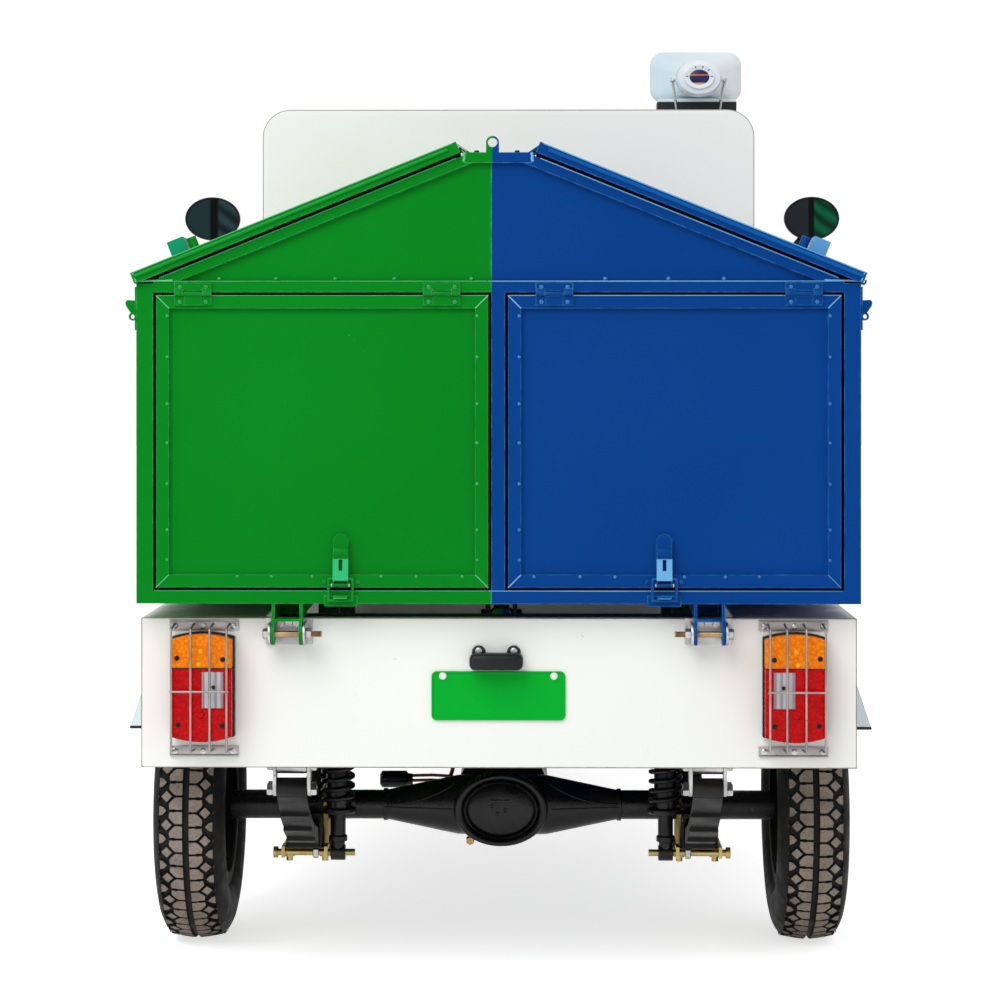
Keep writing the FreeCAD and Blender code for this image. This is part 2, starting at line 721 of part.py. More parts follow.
def wheel_flare(side):
    """A slanted sheet over the wheel, closed at its ends and open below."""
    x = BODY_HALF
    outer = [(side * x, FLARE_Z1), (side * (x + FLARE_OUT), FLARE_Z0), (side * x, FLARE_Z0)]
    inset = FLARE_T * 1.2
    inner = [
        (side * (x - 1), FLARE_Z1 - 14),
        (side * (x + FLARE_OUT - inset), FLARE_Z0),
        (side * (x + FLARE_OUT - inset), FLARE_Z0 - 1),
        (side * (x - 1), FLARE_Z0 - 1),
    ]
    y0 = REAR_AXLE_Y - FLARE_HALF_L
    y1 = REAR_AXLE_Y + FLARE_HALF_L
    return plate_y(outer, y0, y1).cut(plate_y(inner, y0 + FLARE_T, y1 - FLARE_T))


# Lamps and plate

LAMP_INSET = 53.0
LAMP_W = 101.0
LAMP_X1 = BODY_HALF - LAMP_INSET
LAMP_X0 = LAMP_X1 - LAMP_W
LAMP_Z0 = 420.0
LAMP_Z1 = 598.0
LAMP_AMBER_Z = 541.0
LAMP_BASE_T = 14.0
LAMP_DEPTH = 42.0


def lamp_outline(grow, y0, y1):
    """The lamp's face: upright sides with shallow arched ends."""
    x0 = LAMP_X0 - grow
    x1 = LAMP_X1 + grow
    z0 = LAMP_Z0 - grow + 8
    z1 = LAMP_Z1 + grow - 8
    xm = (x0 + x1) / 2
    edges = [
        Part.LineSegment(V(x0, y0, z0), V(x0, y0, z1)).toShape(),
        Part.Arc(V(x0, y0, z1), V(xm, y0, z1 + 8), V(x1, y0, z1)).toShape(),
        Part.LineSegment(V(x1, y0, z1), V(x1, y0, z0)).toShape(),
        Part.Arc(V(x1, y0, z0), V(xm, y0, z0 - 8), V(x0, y0, z0)).toShape(),
    ]
    return Part.Face(Part.Wire(edges)).extrude(V(0, y1 - y0, 0))


def on_side(shape, side):
    return shape if side > 0 else mirrored(shape)


def lamp_housings():
    shape = lamp_outline(0, REAR_PANEL_Y - LAMP_BASE_T, REAR_PANEL_Y)
    return Part.makeCompound([on_side(shape, s) for s in (-1, 1)])


def lamp_lens(z0, z1):
    y1 = REAR_PANEL_Y - LAMP_BASE_T
    whole = lamp_outline(-2, REAR_PANEL_Y - LAMP_DEPTH, y1)
    return whole.common(box(LAMP_X0 - 5, LAMP_X1 + 5, REAR_PANEL_Y - 60, REAR_PANEL_Y, z0, z1))


REVERSE_X0 = LAMP_X0 + 15
REVERSE_X1 = REVERSE_X0 + 35
REVERSE_Z0 = 477.0
REVERSE_Z1 = 536.0


def reverse_block():
    y0 = REAR_PANEL_Y - LAMP_DEPTH
    return box(REVERSE_X0, REVERSE_X1, y0, y0 + 16, REVERSE_Z0, REVERSE_Z1)


def amber_lenses():
    shape = lamp_lens(LAMP_AMBER_Z, LAMP_Z1 + 5)
    return Part.makeCompound([on_side(shape, s) for s in (-1, 1)])


def red_lenses():
    shape = lamp_lens(LAMP_Z0 - 5, LAMP_AMBER_Z).cut(reverse_block())
    return Part.makeCompound([on_side(shape, s) for s in (-1, 1)])


def reverse_lenses():
    return Part.makeCompound([on_side(reverse_block(), s) for s in (-1, 1)])


def lamp_guard(side):
    """Two drilled strips with four upright rods bowed over the lamp and one rod across them."""
    x0 = LAMP_X0 - 10
    x1 = LAMP_X1 + 2
    strip_t = 3.0
    rod_r = 2.5
    y_face = REAR_PANEL_Y - strip_t
    y_rod = REAR_PANEL_Y - LAMP_DEPTH - 13
    top_z0 = 599.5
    top_z1 = 616.0
    low_z0 = 395.0
    low_z1 = 411.0
    parts = [box(x0, x1, y_face, REAR_PANEL_Y, top_z0, top_z1)]
    parts.append(box(x0, x1, y_face, REAR_PANEL_Y, low_z0, low_z1))
    for x in (LAMP_X0 + 6, LAMP_X0 + 33, LAMP_X1 - 37, LAMP_X1 - 6):
        upper = V(x, REAR_PANEL_Y - 1, top_z0 + 12)
        upper_bend = V(x, y_rod, top_z0 + 6)
        lower_bend = V(x, y_rod, low_z1 - 2)
        lower = V(x, REAR_PANEL_Y - 1, low_z1 - 6)
        parts += [rod(rod_r, upper, upper_bend), rod(rod_r, upper_bend, lower_bend)]
        parts.append(rod(rod_r, lower_bend, lower))
        parts += [Part.makeSphere(rod_r, upper_bend), Part.makeSphere(rod_r, lower_bend)]
    parts.append(rod(rod_r, V(LAMP_X0 + 3, y_rod, 505), V(LAMP_X1 - 3, y_rod, 505)))
    return on_side(join(parts), side)


def number_plate():
    """A thin plate with a raised bead round its edge."""
    plate = box(-PLATE_HALF, PLATE_HALF, REAR_PANEL_Y - PLATE_T, REAR_PANEL_Y, PLATE_Z0, PLATE_Z1)
    b = PLATE_BEAD
    face = REAR_PANEL_Y - PLATE_T
    bead = box(-PLATE_HALF, PLATE_HALF, face - 1.5, face, PLATE_Z0, PLATE_Z1)
    inside = box(-PLATE_HALF + b, PLATE_HALF - b, face - 2, face, PLATE_Z0 + b, PLATE_Z1 - b)
    return join([plate, bead.cut(inside)])


def plate_lamp():
    """A moulded hood over the plate: round body between two ears, lit from below."""
    z = 556.0
    y = REAR_PANEL_Y - 20
    hood = [(-34, 0), (-34, 12), (-29, 17), (23, 17), (28, 12), (28, 0)]
    body = revolve_x(hood, 0, y, z)
    back = box(-30, 24, y, REAR_PANEL_Y, z - 14, z + 12)
    ears = [cyl_y(11, REAR_PANEL_Y - 6, REAR_PANEL_Y, x, z + 2) for x in (-38.0, 31.0)]
    bridge = box(-38, 31, REAR_PANEL_Y - 6, REAR_PANEL_Y, z - 9, z + 13)
    return join([body, back, bridge] + ears)


# Tip hinge

EAR_OUT = SUBFRAME_X + EAR_HALF_SPAN
EAR_IN = SUBFRAME_X - EAR_HALF_SPAN


def tip_brackets(side):
    """Back plate on the rear panel with two ears outside the bin's own, round the tip bolt."""
    outer0 = EAR_OUT + EAR_GAP
    inner1 = EAR_IN - EAR_GAP
    back = box(inner1 - 12, outer0 + 12, REAR_PANEL_Y - 6, REAR_PANEL_Y, TIP_PIN_Z - 20, BODY_Z1)
    parts = [back]
    for x0, x1 in ((outer0, outer0 + FIXED_EAR_T), (inner1 - FIXED_EAR_T, inner1)):
        parts.append(cyl_x(EAR_R, x0, x1, TIP_PIN_Y, TIP_PIN_Z))
        parts.append(box(x0, x1, TIP_PIN_Y, REAR_PANEL_Y - 5, TIP_PIN_Z - EAR_R, TIP_PIN_Z + EAR_R))
    shape = join(parts)
    shape = shape.cut(cyl_x(TIP_PIN_R, inner1 - 30, outer0 + 30, TIP_PIN_Y, TIP_PIN_Z))
    return on_side(shape, side)


def tip_bolt(side):
    outer = EAR_OUT + EAR_GAP + FIXED_EAR_T
    inner = EAR_IN - EAR_GAP - FIXED_EAR_T
    parts = [cyl_x(TIP_PIN_R, inner - 26, outer, TIP_PIN_Y, TIP_PIN_Z)]
    parts.append(cyl_x(9, outer, outer + 10, TIP_PIN_Y, TIP_PIN_Z))
    parts.append(cyl_x(9.5, inner - 14, inner, TIP_PIN_Y, TIP_PIN_Z))
    return on_side(join(parts), side)


# Bin

LID_SLOPE = math.atan2(LID_INNER_Z - LID_OUTER_Z, LID_OUTER_X - LID_INNER_X)
LID_LENGTH = math.hypot(LID_INNER_Z - LID_OUTER_Z, LID_OUTER_X - LID_INNER_X)


def under_lid(x):
    """Height of the lid's underside at a distance x from the middle."""
    x_corner = LID_OUTER_X - LID_T * math.sin(LID_SLOPE)
    z_corner = LID_OUTER_Z - LID_T * math.cos(LID_SLOPE)
    return z_corner + (x_corner - x) * math.tan(LID_SLOPE)


SIDE_RAIL_TOP = under_lid(BIN_HALF) - SEAT_GAP - 0.2
SUBFRAME_Z0 = CRADLE_Z + CRADLE_H + SEAT_GAP


def gable_top(x):
    return under_lid(x) - GABLE_GAP / math.cos(LID_SLOPE)


def bin_shell():
    """Right half of the bin without its rear frame: side, half floor, half front wall and sub-frame."""
    inner = BIN_HALF - POST
    y0 = BIN_REAR_Y + POST
    y1 = BIN_FRONT_Y - POST
    parts = [box(0, BIN_HALF - SKIN_RECESS, y0, BIN_FRONT_Y - SKIN_RECESS, BIN_Z0, BIN_Z0 + FLOOR_T)]
    skin_x = BIN_HALF - SKIN_RECESS
    parts.append(box(skin_x - BIN_SKIN, skin_x, y0, y1, BIN_Z0, SIDE_RAIL_TOP - 2))
    parts.append(box(inner, BIN_HALF, y0, BIN_FRONT_Y, BIN_Z0, BIN_Z0 + BOTTOM_RAIL_H))
    parts.append(box(inner, BIN_HALF, y0, BIN_FRONT_Y, EAVES_Z0 - 8, SIDE_RAIL_TOP))
    parts.append(box(inner, BIN_HALF, y1, BIN_FRONT_Y, BIN_Z0, SIDE_RAIL_TOP))
    for k in (1, 2):
        y = y0 + (y1 - y0) * k / 3.0
        parts.append(box(skin_x - BIN_SKIN - 16, BIN_HALF, y - 12, y + 12, BIN_Z0, EAVES_Z0))
    skin_y = BIN_FRONT_Y - SKIN_RECESS
    corner_z = gable_top(inner + 1) - 4
    wall = [(0, BIN_Z0), (inner + 1, BIN_Z0), (inner + 1, corner_z), (RIDGE_HALF, RIDGE_Z0), (0, RIDGE_Z0)]
    parts.append(plate_y(wall, skin_y - BIN_SKIN, skin_y))
    parts.append(box(0, inner, y1, BIN_FRONT_Y, BIN_Z0, BIN_Z0 + BOTTOM_RAIL_H))
    parts.append(box(0, inner, y1, BIN_FRONT_Y, EAVES_Z0, EAVES_Z1))
    parts.append(box(0, CENTRE_POST / 2, y1, BIN_FRONT_Y, BIN_Z0, EAVES_Z0))
    parts.append(gable_bar(inner, y1, BIN_FRONT_Y))
    parts.append(rain_lip(y1))
    parts += lid_latch(BIN_FRONT_Y - POST / 2)
    x0 = SUBFRAME_X - SUBFRAME_W / 2
    x1 = SUBFRAME_X + SUBFRAME_W / 2
    parts.append(box(x0, x1, BIN_REAR_Y + EAR_DEPTH, BIN_FRONT_Y - 20, SUBFRAME_Z0, BIN_Z0))
    return join(parts)


def rain_lip(face_y):
    """A flange on the front gable bar that rises inside the lid's rim."""
    lip_y1 = BIN_FRONT_Y + LID_OVERHANG - LID_RIM - LIP_CLEAR
    outer = BIN_HALF - POST
    inner = LID_INNER_X + LID_RIM + 8
    drop = GABLE_BAR / math.cos(LID_SLOPE)
    rise = GABLE_GAP + LIP_RISE
    points = [
        (outer, gable_top(outer) - drop),
        (inner, gable_top(inner) - drop),
        (inner, gable_top(inner) + rise),
        (outer, gable_top(outer) + rise),
    ]
    lip = plate_y(points, max(lip_y1 - LIP_T, face_y), lip_y1)
    return lip.cut(box(0, 1000, lip_y1 - 30, lip_y1 + 1, 0, EAVES_Z0))


def lid_latch(yc):
    """Fastener for the lid on the bin's side: a plate, a tapered lever and its finger ring."""
    half = 6.0
    plate = box(BIN_HALF, BIN_HALF + 3, yc - 10, yc + 10, LATCH_LOW_Z, LATCH_TOP_Z)
    tip_x = BIN_HALF + LATCH_REACH
    lever_points = [
        (BIN_HALF + 2, LATCH_MID_Z),
        (tip_x - 3, LATCH_MID_Z + 1),
        (tip_x, LATCH_MID_Z - 3),
        (tip_x - 1, LATCH_MID_Z - 9),
        (BIN_HALF + 5, RING_Z - 2),
        (BIN_HALF + 2, RING_Z - 2),
    ]
    lever = plate_y(lever_points, yc - half, yc + half)
    ring = cyl_y(RING_R, yc - 3, yc + 3, BIN_HALF + RING_R + 1, RING_Z)
    hole = cyl_y(RING_R - 3, yc - 7, yc + 7, BIN_HALF + RING_R + 1, RING_Z)
    return [plate, join([lever, ring]).cut(hole)]


def gable_bar(foot_x, y0, y1):
    drop = GABLE_BAR / math.cos(LID_SLOPE)
    head_x = RIDGE_HALF - 12
    points = [
        (foot_x, gable_top(foot_x) - drop),
        (head_x, gable_top(head_x) - drop),
        (head_x, gable_top(head_x)),
        (foot_x, gable_top(foot_x)),
    ]
    bar = plate_y(points, y0, y1).cut(box(0, 1000, y0 - 1, y1 + 1, 0, EAVES_Z0))
    return bar.cut(box(0, RIDGE_HALF, y0 - 1, y1 + 1, RIDGE_Z0, RIDGE_Z1 + 20))


def bin_rear_frame(side):
    """Half of the rear portal with its gable sheet; the right half carries the centre post."""
    y0 = BIN_REAR_Y
    y1 = BIN_REAR_Y + POST
    inner = BIN_HALF - POST
    seam = CENTRE_POST / 2
    start = -seam if side > 0 else seam
    parts = [box(inner, BIN_HALF, y0, y1, BIN_Z0, SIDE_RAIL_TOP)]
    parts.append(box(start, inner, y0, y1, BIN_Z0, BIN_Z0 + BOTTOM_RAIL_H))
    parts.append(box(start, inner, y0, y1, EAVES_Z0, EAVES_Z1))
    if side > 0:
        parts.append(box(-seam, seam, y0, y1, BIN_Z0, EAVES_Z1))
    skin = [(start, EAVES_Z1 - 2), (inner, EAVES_Z1 - 2), (inner, gable_top(inner) - 6)]
    skin += [(RIDGE_HALF, gable_top(RIDGE_HALF) - 6), (start, gable_top(RIDGE_HALF) - 6)]
    skin_face = y0 + SKIN_RECESS
    sheet = plate_y(skin, skin_face, skin_face + BIN_SKIN)
    parts.append(sheet.cut(box(-200, 200, y0, y1, RIDGE_Z0, RIDGE_Z1 + 40)))
    parts.append(gable_bar(inner, y0, y1))
    parts += tip_ears() + door_hinges() + door_catch(side) + lid_latch(y0 + POST / 2)
    return on_side(join(parts), side)


def tip_ears():
    """Two plates down to the tip bolt with a cross plate between, open to the rear."""
    y0 = BIN_REAR_Y
    y1 = BIN_REAR_Y + EAR_DEPTH - SEAT_GAP
    low = BODY_Z1 + 2
    parts = []
    for x0, x1 in ((EAR_IN, EAR_IN + EAR_T), (EAR_OUT - EAR_T, EAR_OUT)):
        upper = plate_x([(y0, BIN_Z0), (y1, BIN_Z0), (y1, low), (y0, low)], x0, x1)
        lobe = cyl_x(EAR_R, x0, x1, TIP_PIN_Y, TIP_PIN_Z)
        neck = box(x0, x1, TIP_PIN_Y - EAR_R + 4, TIP_PIN_Y + EAR_R - 4, TIP_PIN_Z, low + 1)
        ear = join([upper, lobe, neck])
        parts.append(ear.cut(cyl_x(TIP_PIN_R + PIN_CLEAR, x0 - 1, x1 + 1, TIP_PIN_Y, TIP_PIN_Z)))
    parts.append(box(EAR_IN, EAR_OUT, TIP_PIN_Y - 12, TIP_PIN_Y + 12, EAR_CROSS_Z, EAR_CROSS_Z + 4))
    return parts


def bin_divider():
    """The wall between the two compartments, from the centre post to the front wall."""
    y0 = BIN_REAR_Y + POST
    y1 = BIN_FRONT_Y - POST
    return box(-2, 2, y0, y1, BIN_Z0 + FLOOR_T, RIDGE_Z0)


def lid_hinge_centres():
    return (BIN_REAR_Y + 190, (BIN_REAR_Y + BIN_FRONT_Y) / 2, BIN_FRONT_Y - 190)


def lid_hinge_spans(fixed):
    """Knuckles along Y, the lid's between the ridge's."""
    spans = []
    for yc in lid_hinge_centres():
        if fixed:
            spans += [(yc - KNUCKLE_SPAN, yc - 21), (yc + 21, yc + KNUCKLE_SPAN)]
        else:
            spans.append((yc - 20, yc + 20))
    return spans


LID_AXIS_X = LID_INNER_X + HINGE_R * math.sin(LID_SLOPE)
LID_AXIS_Z = LID_INNER_Z + HINGE_R * math.cos(LID_SLOPE)


def bin_ridge():
    """The flat ridge beam with a lifting lug at each end and the sloped fixed hinge leaves."""
    parts = [box(-RIDGE_HALF, RIDGE_HALF, BIN_REAR_Y, BIN_FRONT_Y, RIDGE_Z0, RIDGE_Z1)]
    for y0 in (BIN_REAR_Y, BIN_FRONT_Y - LUG_T):
        x0 = LUG_X - LUG_W / 2
        x1 = LUG_X + LUG_W / 2
        z = LUG_TOP - LUG_W / 2
        lug = join([box(x0, x1, y0, y0 + LUG_T, RIDGE_Z1, z), cyl_y(LUG_W / 2, y0, y0 + LUG_T, LUG_X, z)])
        parts.append(lug.cut(cyl_y(LUG_HOLE_R, y0 - 1, y0 + LUG_T + 1, LUG_X, z)))
    for side in (-1, 1):
        foot = side * (RIDGE_HALF - HINGE_FOOT)
        axis = side * LID_AXIS_X
        top = LID_AXIS_Z + HINGE_R
        for y0, y1 in lid_hinge_spans(True):
            leaf = [(foot, RIDGE_Z1 - 1), (foot, RIDGE_Z1 + HINGE_LEAF)]
            leaf += [(axis, top), (axis, top - HINGE_LEAF)]
            parts += [plate_y(leaf, y0, y1), cyl_y(HINGE_R, y0, y1, axis, LID_AXIS_Z)]
            parts.append(box(foot, foot + side * 6, y0, y1, RIDGE_Z1, RIDGE_Z1 + HINGE_LEAF))
        for mid in lid_hinge_centres():
            parts.append(cyl_y(PIN_R, mid - KNUCKLE_SPAN, mid + KNUCKLE_SPAN, axis, LID_AXIS_Z))
    return join(parts)


def lid_handle(y, way):
    """A folded grip near the eaves, closed at its outer end, with a rubber buffer beside it."""
    end = y + way * HANDLE_L
    grip = box(HANDLE_U, HANDLE_U + HANDLE_W, y, end, 0, HANDLE_H)
    hollow = box(HANDLE_U + 3, HANDLE_U + HANDLE_W - 3, y + way * 3, end + way, -1, HANDLE_H - 3)
    hollow = hollow.cut(box(0, 200, y, end + way, -2, 0))
    buffer = cyl_z(8, 0, HANDLE_H - 6, HANDLE_U + HANDLE_W + 12, y + way * 10)
    return [grip.cut(hollow), buffer]


def lid(side):
    """A framed sheet on one roof slope. It is drawn level, with u from the eaves to the ridge."""
    y0 = BIN_REAR_Y - LID_OVERHANG
    y1 = BIN_FRONT_Y + LID_OVERHANG
    whole = box(0, LID_LENGTH, y0, y1, -LID_T, 0)
    pocket = box(LID_RIM, LID_LENGTH - LID_RIM, y0 + LID_RIM, y1 - LID_RIM, -LID_T - 1, -LID_SKIN)
    span = (y1 - y0) / 3
    parts = [whole.cut(pocket)]
    for y in (y0 + span, y1 - span):
        parts.append(box(LID_RIM, LID_LENGTH - LID_RIM, y - 12, y + 12, -LID_T + 4, -LID_SKIN))
    for a, b in lid_hinge_spans(False):
        parts.append(box(LID_LENGTH - 40, LID_LENGTH, a, b, 0, HINGE_LEAF))
        parts.append(cyl_y(HINGE_R, a, b, LID_LENGTH, HINGE_R))
    for y, way in ((y0 + HANDLE_IN, 1), (y1 - HANDLE_IN, -1)):
        parts += lid_handle(y, way)
    shape = join(parts)
    for a, b in lid_hinge_spans(False):
        shape = shape.cut(cyl_y(PIN_R + PIN_CLEAR, a - 1, b + 1, LID_LENGTH, HINGE_R))
    for a, b in lid_hinge_spans(True):
        shape = shape.cut(cyl_y(HINGE_R + 0.5, a - 1, b + 1, LID_LENGTH, HINGE_R))
    shape.rotate(V(0, 0, 0), V(0, 1, 0), -math.degrees(LID_SLOPE))
    shape.translate(V(-LID_OUTER_X, 0, LID_OUTER_Z))
    return shape if side < 0 else mirrored(shape)


DOOR_X0 = CENTRE_POST / 2 + DOOR_GAP
DOOR_X1 = BIN_HALF - POST - DOOR_GAP
DOOR_Z0 = BIN_Z0 + BOTTOM_RAIL_H + DOOR_GAP
DOOR_Z1 = EAVES_Z0 - DOOR_GAP
DOOR_AXIS_Y = BIN_REAR_Y - DOOR_HINGE_OUT
DOOR_AXIS_Z = (DOOR_Z1 + EAVES_Z0) / 2


def door_hinge_centres():
    return (DOOR_X0 + 75, DOOR_X1 - 60)


def door(side):
    """Mitred tube frame with a recessed riveted sheet, hung from the eaves rail."""
    y0 = BIN_REAR_Y
    y1 = BIN_REAR_Y + DOOR_FRAME
    f = DOOR_FRAME
    whole = box(DOOR_X0, DOOR_X1, y0, y1, DOOR_Z0, DOOR_Z1)
    window = box(DOOR_X0 + f, DOOR_X1 - f, y0 - 1, y1 + 1, DOOR_Z0 + f, DOOR_Z1 - f)
    s = f - 1
    sheet_y = y0 + DOOR_RECESS
    skin = box(DOOR_X0 + s, DOOR_X1 - s, sheet_y, sheet_y + DOOR_SKIN, DOOR_Z0 + s, DOOR_Z1 - s)
    parts = [whole.cut(window), skin]
    for x in door_hinge_centres():
        parts.append(box(x - 30, x + 30, y0 - HINGE_LEAF, y0, DOOR_Z1 - 16, DOOR_AXIS_Z - 3))
        parts.append(cyl_x(HINGE_R, x - 14, x + 14, DOOR_AXIS_Y, DOOR_AXIS_Z))
        parts.append(box(x - 14, x + 14, y0 - HINGE_LEAF - 1, y0 - 1, DOOR_Z1 - 16, DOOR_AXIS_Z))
    shape = join(parts + door_latch(latch_x(side)))
    for x in door_hinge_centres():
        shape = shape.cut(cyl_x(PIN_R + PIN_CLEAR, x - 15, x + 15, DOOR_AXIS_Y, DOOR_AXIS_Z))
        for a, b in ((x - 31, x - 14.0), (x + 14.0, x + 31)):
            shape = shape.cut(cyl_x(HINGE_R + 0.5, a, b, DOOR_AXIS_Y, DOOR_AXIS_Z))
    return on_side(shape, side)


def door_hinges():
    """Fixed leaves on the eaves rail with the outer knuckles and the pins."""
    y0 = BIN_REAR_Y
    parts = []
    for x in door_hinge_centres():
        leaf = box(x - 30, x + 30, y0 - HINGE_LEAF, y0, DOOR_AXIS_Z + HINGE_R + 1, EAVES_Z1 - 2)
        pieces = [leaf, cyl_x(PIN_R, x - 30, x + 30, DOOR_AXIS_Y, DOOR_AXIS_Z)]
        for a, b in ((x - 30, x - 15), (x + 15, x + 30)):
            pieces.append(cyl_x(HINGE_R, a, b, DOOR_AXIS_Y, DOOR_AXIS_Z))
            pieces.append(box(a, b, y0 - HINGE_LEAF - 1, y0 - 1, DOOR_AXIS_Z, DOOR_AXIS_Z + HINGE_R + 4))
        parts.append(join(pieces))
    return parts


LOOP_Y = BIN_REAR_Y - 9


def latch_x(side):
    return LATCH_X_RIGHT if side > 0 else LATCH_X_LEFT


def door_latch(x):
    """Over-centre latch: base plate, hooked lever over its pivot, and the wire loop to the catch below."""
    y0 = BIN_REAR_Y
    half = LATCH_HALF
    parts = [box(x - half, x + half, y0 - 2, y0 + DOOR_RECESS + 1, LATCH_BASE_Z0, LATCH_BASE_Z1 - 8)]
    crown = cyl_y(half, y0 - 2, y0 + DOOR_RECESS + 1, x, LATCH_BASE_Z1 - half)
    parts.append(crown.common(box(x - half, x + half, y0 - 2, y0 + 20, LATCH_BASE_Z1 - 8.5, LATCH_BASE_Z1)))
    arch = cyl_x(11, x - half + 1, x + half - 1, y0 - 2, LEVER_Z1 + 9)
    parts.append(arch.common(box(x - half, x + half, y0 - 20, y0, LEVER_Z1, LEVER_Z1 + 30)))
    lever = plate_x(
        [(y0 - 10, LEVER_Z0), (y0 - 13, LEVER_Z0 + 1), (y0 - 9, LEVER_Z1 + 2), (y0 - 5, LEVER_Z1 + 2)],
        x - half,
        x + half,
    )
    slot = box(x - 3, x + 3, y0 - 20, y0, LEVER_Z1 - 19, LEVER_Z1 - 1)
    parts.append(lever.cut(slot))
    for k in (-1, 1):
        cheek = plate_x(
            [
                (y0 - 1, LEVER_Z0 - 9),
                (y0 - 10, LEVER_Z0 - 9),
                (y0 - 12, LEVER_Z0 + 4),
                (y0 - 8, LEVER_Z1),
                (y0 - 1, LEVER_Z1),
            ],
            x + k * half,
            x + k * (half - 2),
        )
        parts.append(cheek)
        wire = rod(LOOP_R, V(x + k * LOOP_HALF, LOOP_Y, LOOP_Z1), V(x + k * LOOP_HALF, LOOP_Y, LOOP_Z0))
        parts += [wire, Part.makeSphere(LOOP_R, V(x + k * LOOP_HALF, LOOP_Y, LOOP_Z0))]
    for z in (LOOP_Z0, LOOP_Z1):
        parts.append(cyl_x(LOOP_R, x - LOOP_HALF, x + LOOP_HALF, LOOP_Y, z))
    parts.append(cyl_x(3, x - half - 2, x + half + 2, y0 - 6, LEVER_Z0 - 6))
    return parts


def door_catch(side):
    """Hook plate on the bottom rail, its lip over the latch's loop."""
    y0 = BIN_REAR_Y
    x = latch_x(side)
    plate = box(x - 27, x + 27, y0 - 2.5, y0, BIN_Z0 - 4, BIN_Z0 + 13)
    lip = plate_x(
        [
            (y0 - 2, BIN_Z0 + 10),
            (y0 - 2, BIN_Z0 + 13),
            (y0 - 14, BIN_Z0 + 14),
            (y0 - 17, BIN_Z0 + 9),
            (y0 - 14, BIN_Z0 + 11),
        ],
        x - 11,
        x + 11,
    )
    return [plate, lip]


# Tipping cylinder

def cylinder_way():
    way = V(0, CYL_EYE_Y - CYL_BASE_Y, CYL_EYE_Z - CYL_BASE_Z)
    length = way.Length
    return way.normalize(), length


def along(distance):
    way, _ = cylinder_way()
    return V(0, CYL_BASE_Y, CYL_BASE_Z) + V(way.x * distance, way.y * distance, way.z * distance)


def cylinder_base():
    """Crossmember under the rails with two cheeks and the pin that carry the tipping cylinder."""
    inner = RAIL_X - RAIL_W / 2
    outer = RAIL_X + RAIL_W / 2
    foot_z = RAIL_Z - 24
    parts = []
    top = CYL_BASE_Z + 24
    for k in (-1, 1):
        cheek = plate_x(
            [
                (CYL_BASE_Y - 30, RAIL_Z),
                (CYL_BASE_Y + 30, RAIL_Z),
                (CYL_BASE_Y + 22, top),
                (CYL_BASE_Y - 22, top),
            ],
            k * 24,
            k * 34,
        )
        parts.append(cheek)
        parts.append(box(k * inner, k * outer, CYL_BASE_Y - 32, CYL_BASE_Y + 32, foot_z, RAIL_Z))
    parts.append(box(-inner, inner, CYL_BASE_Y - 32, CYL_BASE_Y + 32, foot_z, RAIL_Z))
    parts.append(cyl_x(10, -40, 40, CYL_BASE_Y, CYL_BASE_Z))
    return parts


def cylinder_barrel():
    _, length = cylinder_way()
    barrel_end = length - 110
    eye = cyl_x(20, -20, 20, CYL_BASE_Y, CYL_BASE_Z)
    body = rod(CYL_R, along(44), along(barrel_end))
    neck = rod(16, along(8), along(48))
    shape = join([eye, body, neck])
    shape = shape.cut(cyl_x(10 + PIN_CLEAR, -30, 30, CYL_BASE_Y, CYL_BASE_Z))
    return shape.cut(rod(ROD_R + PIN_CLEAR, along(70), along(barrel_end + 10)))


def cylinder_rod():
    _, length = cylinder_way()
    shaft = rod(ROD_R, along(80), along(length - 12))
    eye = cyl_x(CYL_EYE_R, -14, 14, CYL_EYE_Y, CYL_EYE_Z)
    return join([shaft, eye]).cut(cyl_x(10, -20, 20, CYL_EYE_Y, CYL_EYE_Z))


def bin_cross_tube():
    """Cross tube under the bin between its sub-frame rails, with two cheeks for the rod's eye."""
    x1 = SUBFRAME_X - SUBFRAME_W / 2
    cross = box(-x1, x1, CYL_EYE_Y - 20, CYL_EYE_Y + 20, SUBFRAME_Z0, BIN_Z0)
    parts = [cross]
    low = CYL_EYE_Z - 16
    for k in (-1, 1):
        outline = [
            (CYL_EYE_Y - 20, SUBFRAME_Z0),
            (CYL_EYE_Y + 20, SUBFRAME_Z0),
            (CYL_EYE_Y + 16, low),
            (CYL_EYE_Y - 16, low),
        ]
        parts.append(plate_x(outline, k * 20, k * 28))
        parts.append(cyl_x(10, k * 28, k * 36, CYL_EYE_Y, CYL_EYE_Z))
    return join(parts)


# Cab

def cab_outline(y0, y1, z0, inset):
    """The cab's section seen from behind: upright sides and rounded top corners."""
    h = CAB_HALF - inset
    top = CAB_ROOF_Z - inset
    r = CAB_CORNER_R - inset * 0.6
    c = r * (1 - math.sqrt(0.5))
    edges = [
        Part.LineSegment(V(-h, y0, z0), V(-h, y0, top - r)).toShape(),
        Part.Arc(V(-h, y0, top - r), V(-h + c, y0, top - c), V(-h + r, y0, top)).toShape(),
        Part.LineSegment(V(-h + r, y0, top), V(h - r, y0, top)).toShape(),
        Part.Arc(V(h - r, y0, top), V(h - c, y0, top - c), V(h, y0, top - r)).toShape(),
        Part.LineSegment(V(h, y0, top - r), V(h, y0, z0)).toShape(),
        Part.LineSegment(V(h, y0, z0), V(-h, y0, z0)).toShape(),
    ]
    return Part.Face(Part.Wire(edges)).extrude(V(0, y1 - y0, 0))


def cab_rear_wall():
    """The wall behind the driver, its outer rear edge rounded where the sheet is folded."""
    wall = cab_outline(CAB_REAR_Y, CAB_REAR_Y + CAB_WALL, CAB_FLOOR_Z, 0)
    edges = [e for e in wall.Edges if e.BoundBox.YMax < CAB_REAR_Y + 1]
    return wall.makeFillet(FOLD_R, edges)


